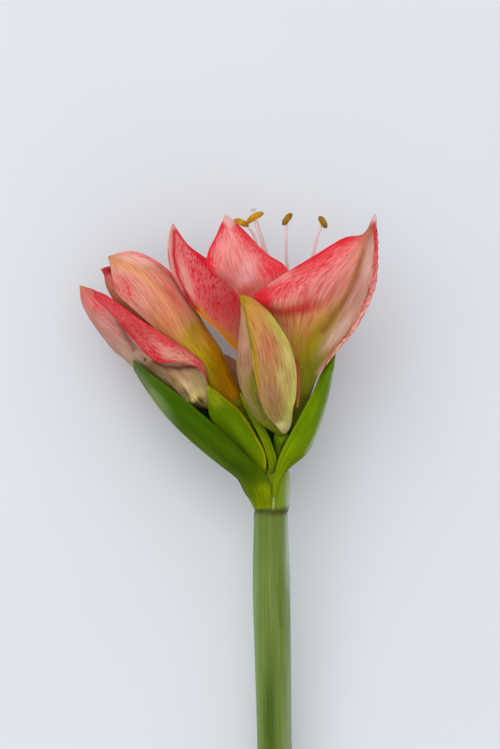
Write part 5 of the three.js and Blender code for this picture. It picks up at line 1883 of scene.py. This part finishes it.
@dataclass(frozen=True)
class Style:
    """The style of a bloom, which ends in a stigma with three short lobes; sizes are in mm."""

    side_name: str
    stations: tuple[Point, ...]
    end_round: float = 1.1
    lobes: int = 3
    lobe_long: float = 1.6
    lobe_round: float = 0.75

    def build(self) -> None:
        """Makes the style and its stigma."""
        slim = (*self.stations[:-1], (*self.stations[-1][:3], self.end_round))
        pieces = [Rod("style_rod", slim, STYLE_PALE, FILAMENT_SKIN, 16, 90).build()]
        tip, before = np.array(self.stations[-1][:3]), np.array(self.stations[-2][:3])
        along = unit(tip - before)
        side, front = round_axis(along)
        for index in range(self.lobes):
            turn = 2 * math.pi * index / self.lobes
            out = side * math.sin(turn) + front * math.cos(turn)
            start = tip - along * 1.4 + out * 0.25
            bend, end = start + along * 0.9 + out * 0.45, start + along * 1.2 + out * self.lobe_long
            stations = ((*start, 0.5), (*bend, self.lobe_round), (*end, 0.3))
            pieces.append(Rod(f"lobe_{index}", stations, STYLE_PALE, FILAMENT_SKIN, 12, 12).build())
        piece = join(f"style_{self.side_name}_with_stigma", pieces)
        settle(piece, (f"style_{self.side_name}",), Slot.STYLE)


# ---- studio --------------------------------------------------------------------------------------


@dataclass(frozen=True)
class Studio:
    """Pale floor, soft light and the camera, on the side that the photograph was taken from.

    Middle, distance, view height and the key's place and aim are in mm in the stem's frame, its
    sensor is in mm, and the floor's, light's and clipping sizes are in metres.
    """

    middle: Point = (-12.1, 72.3)
    distance: float = 5000.0
    view_height: float = 412.0
    sensor: float = 36.0
    far: float = 50.0
    floor_size: float = 12.0
    floor_drop: float = 0.0002
    floor_colours: tuple[str, str] = ("#D3D6D9", "#D9DCDF")
    key_from: Point = (-600.0, 800.0, 2400.0)
    key_aim: Point = (-10.0, 90.0, 0.0)
    key_size: float = 3.0
    key_power: float = 40.0
    sky: str = "#F6F9FF"
    sky_strength: float = 0.8

    def camera(self) -> None:
        """Sets up the camera: a long lens that takes in what the photograph does."""
        x, y = self.middle
        away = self.distance
        spots = laid(np.array([(x, y, away), (x + 1, y, away), (x, y + 1, away), (x, y, away + 1)]))
        turned = Matrix([unit(spot - spots[0]) for spot in spots[1:]]).transposed()
        bpy.ops.object.camera_add(location=Vector(spots[0]), rotation=turned.to_euler())
        camera = bpy.context.active_object
        camera.name = "camera"
        camera.data.sensor_width = self.sensor
        camera.data.lens = self.sensor * away / self.view_height
        camera.data.clip_end = self.far
        bpy.context.scene.camera = camera

    def floor(self) -> None:
        """Lays a sheet of pale paper under the flower."""
        bpy.ops.mesh.primitive_plane_add(size=self.floor_size, location=(0, 0, -self.floor_drop))
        floor = bpy.context.active_object
        floor.name = "paper_floor"
        paper = bpy.data.materials.new("pale_studio_paper")
        tree = clear_tree(paper)
        place = add_node(tree, "ShaderNodeTexCoord", {})
        cloud = {"Vector": place.outputs["Object"], "Scale": 6.0, "Detail": 2.0}
        grain = add_node(tree, "ShaderNodeTexNoise", cloud)
        dark, light = self.floor_colours
        tone = tint(tree, grain.outputs[0], (*linear(dark), 1), light)
        skin = add_node(tree, "ShaderNodeBsdfPrincipled", {"Base Color": tone, "Roughness": 0.9})
        add_node(tree, "ShaderNodeOutputMaterial", {0: skin.outputs[0]})
        floor.data.materials.append(paper)
        floor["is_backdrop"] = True

    def light(self) -> None:
        """Hangs one large soft light to the upper left, and a pale sky all round."""
        place, aim = (Vector(spot) for spot in laid(np.array([self.key_from, self.key_aim])))
        bpy.ops.object.light_add(
            type="AREA", location=place, rotation=(place - aim).to_track_quat("Z", "Y").to_euler()
        )
        key = bpy.context.active_object
        key.name = "soft_key"
        key.data.size = self.key_size
        key.data.energy = self.key_power
        world = bpy.data.worlds.new("pale_sky")
        tree = clear_tree(world)
        sky = {"Color": (*linear(self.sky), 1), "Strength": self.sky_strength}
        glow = add_node(tree, "ShaderNodeBackground", sky)
        add_node(tree, "ShaderNodeOutputWorld", {0: glow.outputs[0]})
        bpy.context.scene.world = world

    def build(self) -> None:
        """Sets up camera, floor and light."""
        self.camera()
        self.floor()
        self.light()
        bpy.context.scene.view_settings.view_transform = "Standard"
        log.info("studio: camera %.0f mm above the flower", self.distance)


def main() -> None:
    """Builds the flower piece by piece, sets up the studio and works out the size."""
    faces = (FRONT_BUD_FRONT, FRONT_BUD_SIDE, FRONT_BUD_REAR)
    parts = (
        Stem(),
        *LEAVES,
        FlowerStalks(),
        RIGHT_BLOOM,
        LEFT_BLOOM,
        Bud("bud_front", FRONT_BUD, faces, BUD_CORE, tucked=TUCKED_EDGE),
        Bud("bud_rear", REAR_BUD, (REAR_BUD_FACE,) * 3, BUD_CORE, 0.5),
        Stamens("right", RIGHT_THROAT, RIGHT_THREADS, RIGHT_ANTHERS),
        Stamens("left", LEFT_THROAT, LEFT_THREADS),
        Style("right", RIGHT_STYLE),
        Style("left", LEFT_STYLE),
        Studio(),
    )
    for part in parts:
        part.build()
    boxes = {"cad": CAD_BOX, "visual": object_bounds()}
    sizes = {key: [[float(c) for c in corner] for corner in box] for key, box in boxes.items()}


if __name__ == "__main__":
    main()
